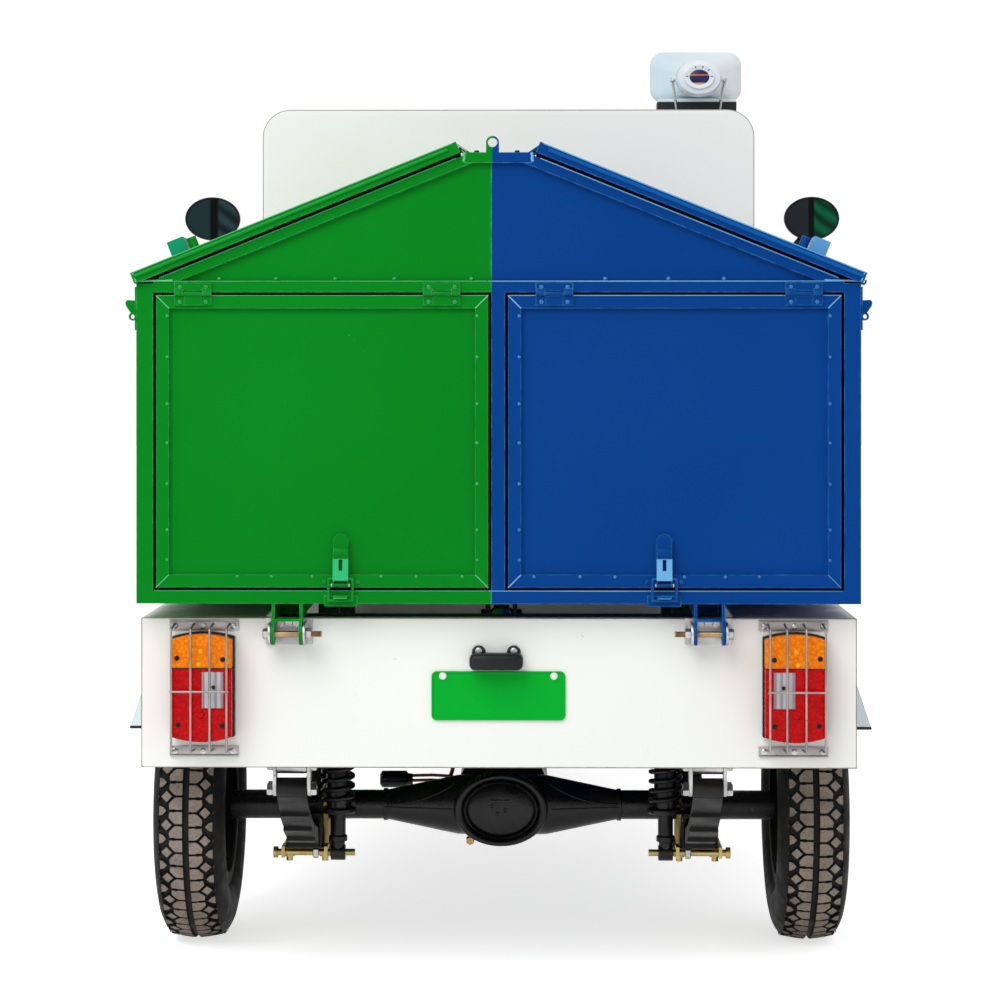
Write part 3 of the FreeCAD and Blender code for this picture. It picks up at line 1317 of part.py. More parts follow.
def cab_roof():
    y0 = CAB_REAR_Y + CAB_WALL
    outer = cab_outline(y0, ROOF_FRONT_Y, ROOF_SIDE_Z, 0)
    return outer.cut(cab_outline(y0 - 1, ROOF_FRONT_Y + 1, ROOF_SIDE_Z - 1, CAB_WALL))


def cab_floor():
    """Floor plate with the upright toe board at its front edge."""
    z0 = CAB_FLOOR_Z - CAB_FLOOR_T
    floor = box(-CAB_HALF, CAB_HALF, CAB_REAR_Y, CAB_FLOOR_FRONT_Y, z0, CAB_FLOOR_Z)
    y1 = CAB_FLOOR_FRONT_Y
    inner = CAB_HALF - CAB_WALL
    return join([floor, box(-inner, inner, y1 - TOE_BOARD_T, y1, CAB_FLOOR_Z, TOE_BOARD_Z)])


def nose_wire(z, front_y, inset):
    """The cab's front seen from above at one height: two cheeks, round corners and a bowed front."""
    half = CAB_HALF - inset
    front = front_y - inset
    r = NOSE_CORNER_R - inset
    back = CAB_FLOOR_FRONT_Y - TOE_BOARD_T
    c = r * (1 - math.sqrt(0.5))
    crown = NOSE_CROWN
    path = [V(-half, back, z), V(-half, front - r, z), V(-half + r, front, z)]
    path += [V(half - r, front, z), V(half, front - r, z), V(half, back, z)]
    return [
        Part.LineSegment(path[0], path[1]).toShape(),
        Part.Arc(path[1], V(-half + c, front - c, z), path[2]).toShape(),
        Part.Arc(path[2], V(0, front + crown, z), path[3]).toShape(),
        Part.Arc(path[3], V(half - c, front - c, z), path[4]).toShape(),
        Part.LineSegment(path[4], path[5]).toShape(),
    ]


def nose_solid(inset, extra):
    """The filled nose between its lower edge and the sill, leaning back as it rises."""
    wires = []
    slope = (NOSE_TOP_Y - NOSE_FRONT_Y) / (SILL_Z - NOSE_Z0)
    for z in (NOSE_Z0 - extra, SILL_Z + extra):
        edges = nose_wire(z, NOSE_FRONT_Y + slope * (z - NOSE_Z0), inset)
        back = CAB_FLOOR_FRONT_Y - TOE_BOARD_T
        half = CAB_HALF - inset
        edges.append(Part.LineSegment(V(half, back, z), V(-half, back, z)).toShape())
        wires.append(Part.Wire(edges))
    return Part.makeLoft(wires, True, True)


def nose_face_y(z):
    """Where the nose's leaning front stands at a height, short of its crown."""
    return NOSE_FRONT_Y + (NOSE_TOP_Y - NOSE_FRONT_Y) / (SILL_Z - NOSE_Z0) * (z - NOSE_Z0)


def cab_nose():
    """Bowed front panel with its cheeks, cowl and dash, open below and behind."""
    t = CAB_WALL
    back = CAB_FLOOR_FRONT_Y - TOE_BOARD_T
    outer = nose_solid(0, 0)
    inner = nose_solid(t, 1)
    inner_far = inner.fuse(box(-CAB_HALF + t, CAB_HALF - t, back - 5, back + 60, NOSE_Z0 - 1, SILL_Z + 1))
    shell = outer.cut(inner_far)
    cowl_zone = box(-CAB_HALF + t - 1, CAB_HALF - t + 1, COWL_Y, NOSE_FRONT_Y, SILL_Z - t, SILL_Z)
    cowl = outer.common(cowl_zone)
    dash = box(-CAB_HALF + t, CAB_HALF - t, back + 15, COWL_Y + t, SILL_Z - 2 * t, SILL_Z - t)
    parts = [shell, cowl, dash]
    cheek = [(back, CAB_FLOOR_Z), (back + 45, CAB_FLOOR_Z), (back + 125, NOSE_Z0), (back, NOSE_Z0)]
    for k in (-1, 1):
        parts.append(plate_x(cheek, k * (CAB_HALF - t), k * CAB_HALF))
    return join(parts)


def pillar(side):
    """A windscreen pillar from the nose to the roof."""
    foot = SCREEN_FOOT_Y
    head = SCREEN_HEAD_Y
    half = PILLAR_W / 2
    x0 = side * (CAB_HALF - PILLAR_W)
    x1 = side * CAB_HALF
    top = ROOF_SIDE_Z
    outline = [(foot - half, SILL_Z), (foot + half, SILL_Z), (head + half, top), (head - half, top)]
    return plate_x(outline, x0, x1)


def windscreen():
    """Laminated pane between the pillars, from the cowl to the roof."""
    inner = CAB_HALF - PILLAR_W - SEAT_GAP
    foot = SCREEN_FOOT_Y
    head = SCREEN_HEAD_Y
    slope = (head - foot) / (ROOF_SIDE_Z - SILL_Z)
    top = CAB_ROOF_Z - CAB_WALL - 1
    y_top = foot + slope * (top - SILL_Z)
    h = GLASS_T / 2
    outline = [(foot - h, SILL_Z), (foot + h, SILL_Z), (y_top + h, top), (y_top - h, top)]
    pane = plate_x(outline, -inner, inner)
    return pane.common(cab_outline(CAB_REAR_Y, NOSE_FRONT_Y, SILL_Z + SEAT_GAP, CAB_WALL + SEAT_GAP))


def seat_base():
    """A steel box open below, over the battery."""
    y0 = CAB_REAR_Y + CAB_WALL + 10
    outer = box(-SEAT_HALF - 10, SEAT_HALF + 10, y0, SEAT_FRONT_Y, CAB_FLOOR_Z, SEAT_Z)
    inner = box(-SEAT_HALF + 5, SEAT_HALF - 5, y0 + 15, SEAT_FRONT_Y - 15, CAB_FLOOR_Z - 1, SEAT_Z - 15)
    return outer.cut(inner)


def battery_pack():
    inner = SEAT_HALF - 30
    return box(-inner, inner, CAB_REAR_Y + CAB_WALL + 35, SEAT_FRONT_Y - 30, CAB_FLOOR_Z, SEAT_Z - 25)


def seat_cushion():
    rear_y = CAB_REAR_Y + CAB_WALL + 70
    slab = box(-SEAT_HALF, SEAT_HALF, rear_y, SEAT_FRONT_Y, SEAT_Z + SEAT_GAP, SEAT_Z + 80)
    upper = [e for e in slab.Edges if e.BoundBox.ZMin > SEAT_Z + 70]
    return slab.makeFillet(22, upper)


def seat_back():
    y0 = CAB_REAR_Y + CAB_WALL + SEAT_GAP
    slab = box(-SEAT_HALF, SEAT_HALF, y0, y0 + 60, SEAT_Z + 40, SEAT_BACK_Z)
    front = [e for e in slab.Edges if e.BoundBox.YMin > y0 + 50]
    return slab.makeFillet(22, front)


def headlamps():
    """Round bowls with a rim and a domed glass, seated in the front panel."""
    parts = []
    z = HEADLAMP_Z
    y = nose_face_y(z)
    body = nose_solid(0, 0)
    for k in (-1, 1):
        x = k * HEADLAMP_X
        bowl = cyl_y(HEADLAMP_R, y - 30, y + 34, x, z)
        glass = cyl_y(HEADLAMP_R - 8, y + 34, y + 40, x, z)
        glass = glass.makeFillet(4, [e for e in glass.Edges if e.BoundBox.YMin > y + 39])
        parts.append(join([bowl, glass]).cut(body))
    return Part.makeCompound(parts)


def front_indicators():
    """Amber blocks under the headlamps."""
    parts = []
    z = INDICATOR_Z
    y = nose_face_y(z)
    body = nose_solid(0, 0)
    for k in (-1, 1):
        x = k * HEADLAMP_X
        block = box(x - 55, x + 55, y - 20, y + 30, z - 20, z + 20)
        block = block.makeFillet(6, [e for e in block.Edges if e.BoundBox.YMin > y + 29])
        parts.append(block.cut(body))
    return Part.makeCompound(parts)


MIRROR_X = 742.0
MIRROR_Y = 960.0
MIRROR_Z = 1395.0
MIRROR_HALF_X = 68.0
MIRROR_HALF_Z = 53.5
MIRROR_ARM_Z = 1290.0
MIRROR_ARM_R = 7.0
SPEAKER_INSET = 119.0
SPEAKER_X = CAB_HALF - SPEAKER_INSET
SPEAKER_Y = CAB_REAR_Y + 20
SPEAKER_RISE = 73.0
SPEAKER_Z = CAB_ROOF_Z + SPEAKER_RISE
DRIVER_HALF_X = 50.0
DRIVER_HALF_Z = 40.0
HORN_HALF_X = 102.0
HORN_HALF_Z = 56.0
HORN_RISE = 14.0


def mirror(side):
    """Oval dished head on a bent arm from the windscreen pillar. The glass side faces the rear."""
    x = MIRROR_X
    z = MIRROR_Z
    y = MIRROR_Y
    rim_part = oval_y(MIRROR_HALF_X, MIRROR_HALF_Z, y - 6, y + 10, x, z)
    recess = oval_y(MIRROR_HALF_X - 4, MIRROR_HALF_Z - 4, y - 7, y - 3, x, z)
    back = Part.makeLoft(
        [
            oval_wire(x, y + 10, z, MIRROR_HALF_X, MIRROR_HALF_Z),
            oval_wire(x, y + 26, z, MIRROR_HALF_X - 16, MIRROR_HALF_Z - 14),
            oval_wire(x, y + 34, z, MIRROR_HALF_X - 42, MIRROR_HALF_Z - 34),
        ],
        True,
    )
    slope = (SCREEN_HEAD_Y - SCREEN_FOOT_Y) / (ROOF_SIDE_Z - SILL_Z)
    arm_z = MIRROR_ARM_Z
    arm_y = SCREEN_FOOT_Y + slope * (arm_z - SILL_Z)
    r = MIRROR_ARM_R
    foot = V(CAB_HALF, arm_y, arm_z)
    knee = V(CAB_HALF + 130, arm_y, arm_z)
    top = V(x, y + 24, z - 20)
    arm = [rod(r, foot, knee), Part.makeSphere(r, knee), rod(r, knee, top)]
    arm.append(cyl_x(16, CAB_HALF, CAB_HALF + 8, arm_y, arm_z))
    return on_side(join([rim_part.cut(recess), back] + arm), side)


def horn_loft(y_shift, thin):
    """The flare from its throat to its oblong mouth, in three sections; thin draws it inside the wall."""
    x = SPEAKER_X
    sections = [
        (SPEAKER_Y + 62, SPEAKER_Z, 30.0, 26.0, 22.0),
        (SPEAKER_Y + 96, SPEAKER_Z + 5, 56.0, 38.0, 26.0),
        (SPEAKER_Y + 132, SPEAKER_Z + 10, HORN_HALF_X - 6, HORN_HALF_Z - 4, 28.0),
        (SPEAKER_Y + 142, SPEAKER_Z + HORN_RISE, HORN_HALF_X, HORN_HALF_Z, 30.0),
    ]
    wires = []
    for y, z, half_x, half_z, r in sections:
        wires.append(rounded_wire(x, y + y_shift, z, half_x - thin, half_z - thin, r - thin * 0.6))
    return Part.makeLoft(wires, True)


def loudspeaker():
    """Oblong horn on the roof with its mouth forwards, its oval driver, wire stirrup and foot."""
    x = SPEAKER_X
    y = SPEAKER_Y
    z = SPEAKER_Z
    driver = oval_y(DRIVER_HALF_X - 14, DRIVER_HALF_Z - 10, y, y + 10, x, z)
    body = oval_y(DRIVER_HALF_X, DRIVER_HALF_Z, y + 14, y + 46, x, z)
    taper = Part.makeLoft(
        [
            oval_wire(x, y + 8, z, DRIVER_HALF_X - 14, DRIVER_HALF_Z - 10),
            oval_wire(x, y + 14, z, DRIVER_HALF_X - 2, DRIVER_HALF_Z - 2),
        ],
        True,
    )
    throat = oval_y(32, 27, y + 46, y + 66, x, z)
    horn = horn_loft(0, 0).cut(horn_loft(3, 3))
    mouth_z = z + HORN_RISE
    lip = Part.Face(rounded_wire(x, y + 142, mouth_z, HORN_HALF_X, HORN_HALF_Z, 30)).extrude(V(0, 6, 0))
    hole_wire = rounded_wire(x, y + 141, mouth_z, HORN_HALF_X - 4, HORN_HALF_Z - 4, 26)
    hole = Part.Face(hole_wire).extrude(V(0, 8, 0))
    foot_top = z + HORN_RISE - HORN_HALF_Z + 4
    foot = Part.Face(
        rounded_wire(x, y + 90, (CAB_ROOF_Z + foot_top) / 2, 88, (foot_top - CAB_ROOF_Z) / 2, 9)
    ).extrude(V(0, 56, 0))
    parts = [driver, taper, body, throat, horn, lip.cut(hole), foot]
    for k in (-1, 1):
        pivot = V(x + k * (DRIVER_HALF_X + 6), y + 36, z)
        base = V(x + k * (DRIVER_HALF_X - 4), y + 46, CAB_ROOF_Z + 1)
        parts += [rod(2.5, pivot, base), Part.makeSphere(2.5, pivot)]
        parts.append(cyl_x(6, x + k * (DRIVER_HALF_X - 4), x + k * (DRIVER_HALF_X + 9), y + 36, z))
        parts.append(cyl_z(8, CAB_ROOF_Z, CAB_ROOF_Z + 3, base.x, base.y))
    return join(parts)


# Front fork and steering

def fork_point(x, up):
    """A point beside the wheel, up along the fork from the axle."""
    d = steer_dir()
    return V(x, FRONT_AXLE_Y + d.y * up, TYRE_R + d.z * up)


YOKE_UP = 300.0
YOKE_T = 30.0


def front_fork():
    """Steering stem, lower yoke, two telescopic legs with their sliders and the axle bolt."""
    low = steer_point(fork_point(0, YOKE_UP).z - 8)
    parts = [rod(STEM_R, low, steer_point(HANDLEBAR_Z - 30))]
    for k in (-1, 1):
        parts.append(rod(LEG_R - 3, fork_point(k * LEG_X, 100), fork_point(k * LEG_X, YOKE_UP + 16)))
        parts.append(rod(LEG_R, fork_point(k * LEG_X, -24), fork_point(k * LEG_X, 150)))
        parts.append(rod(LEG_R + 2, fork_point(k * LEG_X, 146), fork_point(k * LEG_X, 156)))
    parts.append(cyl_x(FRONT_STUB_R, -LEG_X - 30, LEG_X + 30, FRONT_AXLE_Y, TYRE_R))
    yoke = Part.makeBox(2 * LEG_X + 56, 76, YOKE_T, V(-LEG_X - 28, -46, -YOKE_T / 2))
    uprights = [e for e in yoke.Edges if e.BoundBox.ZLength > YOKE_T - 1]
    yoke = yoke.makeFillet(20, uprights)
    yoke.rotate(V(0, 0, 0), V(1, 0, 0), RAKE)
    yoke.translate(fork_point(0, YOKE_UP))
    parts.append(yoke)
    return join(parts)


def handlebar():
    """Clamp on the stem, a bar swept back to the grips, the grips and the two levers."""
    top = steer_point(HANDLEBAR_Z)
    parts = [rod(24, steer_point(HANDLEBAR_Z - 30), steer_point(HANDLEBAR_Z + 6))]
    for k in (-1, 1):
        bend = V(k * 150, top.y, top.z + 10)
        grip0 = V(k * 220, top.y - 30, top.z + 40)
        grip1 = V(k * 340, top.y - 90, top.z + 40)
        along_grip = grip1 - grip0
        parts += [rod(11, top, bend), Part.makeSphere(11, bend)]
        parts += [rod(11, bend, grip0), Part.makeSphere(11, grip0)]
        parts.append(rod(11, grip0, grip1))
        parts.append(rod(16, grip0 + along_grip * 0.15, grip1))
        perch = grip0 + along_grip * 0.05
        lever0 = perch + V(0, 26, -4)
        lever1 = grip1 + V(0, 34, -10)
        parts += [rod(6, perch, lever0), Part.makeSphere(6, lever0)]
        parts += [rod(5, lever0, lever1), Part.makeSphere(6, lever1)]
    return join(parts)


GUARD_R = 252.0


def front_mudguard():
    """A curved sheet over the tyre, hung from the yoke."""
    y = FRONT_AXLE_Y
    z = TYRE_R
    ring = cyl_x(GUARD_R + 4, -72, 72, y, z).cut(cyl_x(GUARD_R, -73, 73, y, z))
    a0 = math.radians(5)
    a1 = math.radians(165)
    far = 600
    keep = plate_x(
        [
            (y, z),
            (y + far * math.cos(a0), z + far * math.sin(a0)),
            (y + far, z + far),
            (y - far, z + far),
            (y + far * math.cos(a1), z + far * math.sin(a1)),
        ],
        -100,
        100,
    )
    hanger = Part.makeBox(60, 40, YOKE_UP - YOKE_T / 2 - SEAT_GAP - GUARD_R, V(-30, -20, GUARD_R))
    hanger.rotate(V(0, 0, 0), V(1, 0, 0), RAKE)
    hanger.translate(V(0, y, z))
    inside = cyl_x(GUARD_R + 1, -73, 73, y, z)
    return join([ring.common(keep), hanger.cut(inside)])


def driver_controls():
    """Brake pedal on the toe board, parking lever beside the seat and the instrument pod on the dash."""
    toe_y = CAB_FLOOR_FRONT_Y - TOE_BOARD_T
    pad = box(60, 130, toe_y - 72, toe_y - 60, 420, 480)
    pad = pad.makeFillet(5, [e for e in pad.Edges if e.BoundBox.YMax < toe_y - 71])
    knee = V(95, toe_y - 34, 520)
    arm = [rod(7, V(95, toe_y - 64, 450), knee), Part.makeSphere(7, knee)]
    arm.append(rod(7, knee, V(95, toe_y + 9, 546)))
    pedal = join([pad] + arm).cut(box(0, 200, toe_y, toe_y + 30, 400, 600))
    lever_x = SEAT_HALF + 55
    foot = box(lever_x - 15, lever_x + 15, 390, 450, CAB_FLOOR_Z, CAB_FLOOR_Z + 30)
    lever_top = V(lever_x, 540, 600)
    lever = [foot, rod(8, V(lever_x, 420, CAB_FLOOR_Z + 15), lever_top)]
    lever.append(rod(13, V(lever_x, 516, 555), lever_top))
    pod_y = toe_y + 25
    pod_z = SILL_Z - CAB_WALL
    hood = [(pod_y, pod_z), (pod_y + 70, pod_z), (pod_y + 55, pod_z + 85), (pod_y + 30, pod_z + 90)]
    pod = plate_x(hood, -90, 90)
    pod = pod.makeFillet(8, [e for e in pod.Edges if e.BoundBox.ZMin > pod_z + 80])
    return Part.makeCompound([pedal, join(lever), pod])


def both(make):
    return Part.makeCompound([make(-1), make(1)])


NODES = {
    "chassis_frame": chassis_frame,
    "head_frame": head_frame,
    "rear_axle": rear_axle,
    "drive_motor": drive_motor,
    "leaf_springs": lambda: both(leaf_spring),
    "spring_hangers": lambda: both(spring_hangers),
    "spring_clamps": lambda: both(spring_clamps),
    "shock_absorbers": lambda: both(shock_absorber),
    "rear_panel": rear_panel,
    "body_side_left": lambda: body_side(-1),
    "body_side_right": lambda: body_side(1),
    "wheel_flares": lambda: both(wheel_flare),
    "lamp_housings": lamp_housings,
    "amber_lenses": amber_lenses,
    "red_lenses": red_lenses,
    "reverse_lenses": reverse_lenses,
    "lamp_guards": lambda: both(lamp_guard),
    "number_plate": number_plate,
    "plate_lamp": plate_lamp,
    "tip_brackets": lambda: both(tip_brackets),
    "tip_bolts": lambda: both(tip_bolt),
    "cab_floor": cab_floor,
    "cab_rear_wall": cab_rear_wall,
    "cab_roof": cab_roof,
    "cab_nose": cab_nose,
    "cab_pillars": lambda: both(pillar),
    "windscreen": windscreen,
    "seat_base": seat_base,
    "battery_pack": battery_pack,
    "seat_cushion": seat_cushion,
    "seat_back": seat_back,
    "headlamps": headlamps,
    "front_indicators": front_indicators,
    "mirrors": lambda: both(mirror),
    "loudspeaker": loudspeaker,
    "driver_controls": driver_controls,
    "bin_left": lambda: mirrored(bin_shell()),
    "bin_right": bin_shell,
    "bin_rear_frame_left": lambda: bin_rear_frame(-1),
    "bin_rear_frame_right": lambda: bin_rear_frame(1),
    "bin_divider": bin_divider,
    "bin_ridge": bin_ridge,
    "bin_cross_tube": bin_cross_tube,
    "lid_left": lambda: lid(-1),
    "lid_right": lambda: lid(1),
    "door_left": lambda: door(-1),
    "door_right": lambda: door(1),
    "cylinder_barrel": cylinder_barrel,
    "cylinder_rod": cylinder_rod,
    "front_fork": front_fork,
    "handlebar": handlebar,
    "front_mudguard": front_mudguard,
    "tyre_rear_left": lambda: tyre(-TRACK_HALF, REAR_AXLE_Y),
    "tyre_rear_right": lambda: tyre(TRACK_HALF, REAR_AXLE_Y),
    "tyre_front": lambda: tyre(0.0, FRONT_AXLE_Y),
    "rim_rear_left": lambda: rear_rim(-1),
    "rim_rear_right": lambda: rear_rim(1),
    "rim_front": front_rim,
}


def main():
    os.makedirs("parts", exist_ok=True)
    for name, make in NODES.items():
        make().exportStep("parts/" + name + ".step")


main()
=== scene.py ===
import bpy
import bmesh
import math
from mathutils import Matrix, Vector


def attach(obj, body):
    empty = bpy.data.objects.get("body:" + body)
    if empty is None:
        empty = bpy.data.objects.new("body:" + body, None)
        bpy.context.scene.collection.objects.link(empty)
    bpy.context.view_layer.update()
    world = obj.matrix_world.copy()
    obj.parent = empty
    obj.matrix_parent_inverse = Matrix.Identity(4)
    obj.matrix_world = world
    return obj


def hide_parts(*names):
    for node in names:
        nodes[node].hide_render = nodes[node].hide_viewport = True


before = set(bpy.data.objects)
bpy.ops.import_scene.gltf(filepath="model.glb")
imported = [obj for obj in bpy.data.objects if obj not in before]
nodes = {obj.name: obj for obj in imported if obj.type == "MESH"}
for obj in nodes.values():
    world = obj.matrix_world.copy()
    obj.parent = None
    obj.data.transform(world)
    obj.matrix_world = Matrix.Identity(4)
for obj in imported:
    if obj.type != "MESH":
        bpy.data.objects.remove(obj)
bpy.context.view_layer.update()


# Chassis
# Two rails of square steel tube with crossmembers, posts and a tubular steering head, all welded.
# They are brushed with satin black chassis paint, which has collected road dust and a little rust.


def new_finish(name, metallic, specular):
    """A material with its own nodes; the values that are the same all over go straight to the shader."""
    material = bpy.data.materials.new(name)
    material.use_nodes = True
    tree = material.node_tree
    shader = tree.nodes["Principled BSDF"]
    shader.inputs["Metallic"].default_value = metallic
    shader.inputs["Specular IOR Level"].default_value = specular
    return material, tree, shader


def on_piece(tree):
    """The place on the piece itself, so that a pattern stays put when the piece moves."""
    return tree.nodes.new("ShaderNodeTexCoord").outputs["Object"]


def cloud(tree, scale, detail=3.0, stretch=(1.0, 1.0, 1.0)):
    """Soft noise fixed to the piece."""
    turn = tree.nodes.new("ShaderNodeMapping")
    turn.inputs["Scale"].default_value = stretch
    noise = tree.nodes.new("ShaderNodeTexNoise")
    noise.inputs["Scale"].default_value = scale
    noise.inputs["Detail"].default_value = detail
    tree.links.new(on_piece(tree), turn.inputs["Vector"])
    tree.links.new(turn.outputs["Vector"], noise.inputs["Vector"])
    return noise.outputs["Fac"]


def band(tree, value, low, high, to_low, to_high):
    """A value stretched from one range to another and held at its ends."""
    node = tree.nodes.new("ShaderNodeMapRange")
    tree.links.new(value, node.inputs["Value"])
    node.inputs["From Min"].default_value = low
    node.inputs["From Max"].default_value = high
    node.inputs["To Min"].default_value = to_low
    node.inputs["To Max"].default_value = to_high
    return node.outputs["Result"]


def mixed(tree, share, first, second):
    """One colour over another; either may be a colour or another node's output."""
    node = tree.nodes.new("ShaderNodeMix")
    node.data_type = "RGBA"
    tree.links.new(share, node.inputs["Factor"])
    for socket, colour in ((node.inputs[6], first), (node.inputs[7], second)):
        if isinstance(colour, tuple):
            socket.default_value = (*colour, 1.0)
        else:
            tree.links.new(colour, socket)
    return node.outputs[2]


def raised(tree, shader, layers):
    """Bumps laid one over another; each layer is a height and its depth in metres."""
    last = None
    for height, depth in layers:
        bump = tree.nodes.new("ShaderNodeBump")
        bump.inputs["Strength"].default_value = 1.0
        bump.inputs["Distance"].default_value = depth
        tree.links.new(height, bump.inputs["Height"])
        if last is not None:
            tree.links.new(last, bump.inputs["Normal"])
        last = bump.outputs["Normal"]
    tree.links.new(last, shader.inputs["Normal"])


def coloured(tree, shader, tone):
    """The finish's colour, from another node."""
    tree.links.new(tone, shader.inputs["Base Color"])


def gloss(tree, shader, pattern, smooth, rough):
    """Roughness that wanders between two values with the pattern."""
    tree.links.new(band(tree, pattern, 0.3, 0.7, smooth, rough), shader.inputs["Roughness"])


def old_paint(name, colour, dust, roughness, specular, rust):
    """Brushed paint with dust in soft patches and a share of rust in small spots."""
    material, tree, shader = new_finish(name, 0.0, specular)
    dusty = band(tree, cloud(tree, 9.0, 6.0), 0.42, 0.72, 0.0, 0.75)
    shade = mixed(tree, dusty, colour, dust)
    spots = band(tree, cloud(tree, 70.0, 5.0), 0.70 - rust, 0.76 - rust, 0.0, 0.7)
    shade = mixed(tree, spots, shade, (0.10, 0.035, 0.012))
    coloured(tree, shader, shade)
    gloss(tree, shader, cloud(tree, 30.0), roughness - 0.1, roughness + 0.15)
    raised(tree, shader, [(cloud(tree, 250.0, 4.0), 0.0004), (cloud(tree, 40.0), 0.0006)])
    return material


def dress(material, *names):
    """Puts a finish on CAD nodes."""
    for name in names:
        nodes[name].data.materials.clear()
        nodes[name].data.materials.append(material)


def soften(width, *names):
    """Joins a CAD node's facets, clears its flat faces and rounds its edges, all as modifiers."""
    for name in names:
        stack = nodes[name].modifiers
        weld = stack.new("joined facets", "WELD")
        weld.merge_threshold = 0.00005
        flat = stack.new("flat faces", "DECIMATE")
        flat.decimate_type = "DISSOLVE"
        flat.angle_limit = math.radians(2)
        edge = stack.new("rounded edges", "BEVEL")
        edge.width = width
        edge.segments = 2
        edge.limit_method = "ANGLE"
        edge.angle_limit = math.radians(35)
        edge.harden_normals = True


chassis_black = old_paint("chassis_black", (0.006, 0.006, 0.007), (0.022, 0.019, 0.016), 0.42, 0.15, 0.0)
dress(chassis_black, "chassis_frame", "head_frame", "drive_motor", "seat_base", "bin_cross_tube")
soften(0.0025, "chassis_frame", "seat_base")


# Rear axle
# A pressed steel banjo housing with trumpet arms and a dished oval cover, painted gloss black.
# Its halves meet in a weld along the arms, and a brass drain plug sits low in the cover's rim.


def deselect():
    """Nothing selected, before a primitive or a pick."""
    bpy.ops.object.select_all(action="DESELECT")


def pick(piece):
    """Selects one piece alone for the next operator."""
    deselect()
    piece.select_set(True)
    bpy.context.view_layer.objects.active = piece


def apply_place(piece):
    """Leaves the object at the origin, its place in its mesh."""
    pick(piece)
    bpy.ops.object.transform_apply(location=True, rotation=True, scale=True)


def complete(piece, body, material, angle=35):
    """Smooths a new piece up to its sharp edges, finishes it and hangs it on its body."""
    apply_place(piece)
    bpy.ops.object.shade_smooth_by_angle(angle=math.radians(angle))
    piece.data.materials.clear()
    piece.data.materials.append(material)
    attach(piece, body)
    return piece


def laid_down(name, points, edges, faces):
    """A mesh made from its points, linked and picked."""
    mesh = bpy.data.meshes.new(name)
    mesh.from_pydata(points, edges, faces)
    piece = bpy.data.objects.new(name, mesh)
    bpy.context.scene.collection.objects.link(piece)
    pick(piece)
    return piece


def turned(name, profile, centre=(0, 0, 0), axis=(0, -1, 0), up=(0, 0, 1), steps=24):
    """A profile of (distance along the axis, radius) points, spun once round it; it faces the rear
    unless another axis is given."""
    centre, axis, up = Vector(centre), Vector(axis).normalized(), Vector(up).normalized()
    points = [centre + axis * a + up * r for a, r in profile]
    piece = laid_down(name, points, [(i, i + 1) for i in range(len(points) - 1)], [])
    bpy.ops.object.mode_set(mode="EDIT")
    bpy.ops.mesh.select_all(action="SELECT")
    bpy.ops.mesh.spin(steps=steps, angle=2 * math.pi, center=centre, axis=axis)
    bpy.ops.mesh.select_all(action="SELECT")
    bpy.ops.mesh.remove_doubles(threshold=0.00002)
    bpy.ops.mesh.normals_make_consistent(inside=False)
    bpy.ops.object.mode_set(mode="OBJECT")
    return piece


def round_bar(name, points, radius, closed=False, smooth=False, sides=3):
    """A bar or bead of round section laid through points."""
    line = bpy.data.curves.new(name, "CURVE")
    line.dimensions = "3D"
    spline = line.splines.new("NURBS" if smooth else "POLY")
    spline.points.add(len(points) - 1)
    for point, place in zip(spline.points, points):
        point.co = (*place, 1.0)
    spline.use_cyclic_u = closed
    if smooth:
        spline.order_u = 3
        spline.use_endpoint_u = not closed
    line.bevel_depth = radius
    line.bevel_resolution = sides
    line.use_fill_caps = True
    piece = bpy.data.objects.new(name, line)
    bpy.context.scene.collection.objects.link(piece)
    pick(piece)
    bpy.ops.object.convert(target="MESH")
    return bpy.context.object


def copies(name, master, places):
    """One piece made of a copy of the master at each place; the master is used up."""
    made = []
    for place in places:
        piece = master.copy()
        piece.data = master.data.copy()
        piece.matrix_world = place @ master.matrix_world
        bpy.context.scene.collection.objects.link(piece)
        made.append(piece)
    deselect()
    for piece in made:
        piece.select_set(True)
    bpy.context.view_layer.objects.active = made[0]
    bpy.context.view_layer.update()
    if len(made) > 1:
        bpy.ops.object.join()
    whole = bpy.context.view_layer.objects.active
    whole.name = name
    bpy.data.objects.remove(master)
    return whole


def moved(x, y, z):
    """A plain shift, for a copy's place."""
    return Matrix.Translation((x, y, z))


SIDES = ((-1, "left"), (1, "right"))
AXLE_Y = -0.890
AXLE_Z = 0.237
SPRING_X = 0.350
axle_black = old_paint("axle_black", (0.004, 0.004, 0.005), (0.014, 0.013, 0.012), 0.26, 0.25, 0.0)
HALF_HOUSING = [(0.0, 0.0550), (0.0800, 0.0530), (0.2050, 0.0270), (0.2080, 0.0290), (0.2140, 0.0290),
                (0.2150, 0.0260), (0.4900, 0.0260), (0.4915, 0.0960), (0.4930, 0.1000), (0.4980, 0.1000),
                (0.4995, 0.0985), (0.4995, 0.0170), (0.5750, 0.0170), (0.5750, 0.0250), (0.5760, 0.0260),
                (0.5845, 0.0260), (0.5845, 0.0)]
outline = [(-along, radius) for along, radius in reversed(HALF_HOUSING[1:])] + HALF_HOUSING
housing = turned("axle_housing", outline, (0, AXLE_Y, AXLE_Z), (1, 0, 0), steps=48)
complete(housing, "chassis", axle_black, angle=30)
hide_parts("rear_axle")
brake_plate = old_paint("brake_plate", (0.008, 0.008, 0.008), (0.030, 0.027, 0.024), 0.75, 0.0, 0.02)
housing.data.materials.append(brake_plate)
BRAKE_PLATE_X = 0.489
ARM_REACH = 0.028
for face in housing.data.polygons:
    reach = math.hypot(face.center.y - AXLE_Y, face.center.z - AXLE_Z)
    if abs(face.center.x) > BRAKE_PLATE_X and reach > ARM_REACH:
        face.material_index = 1
DRUM_Z = 0.2355
DRUM_SQUASH = 0.775
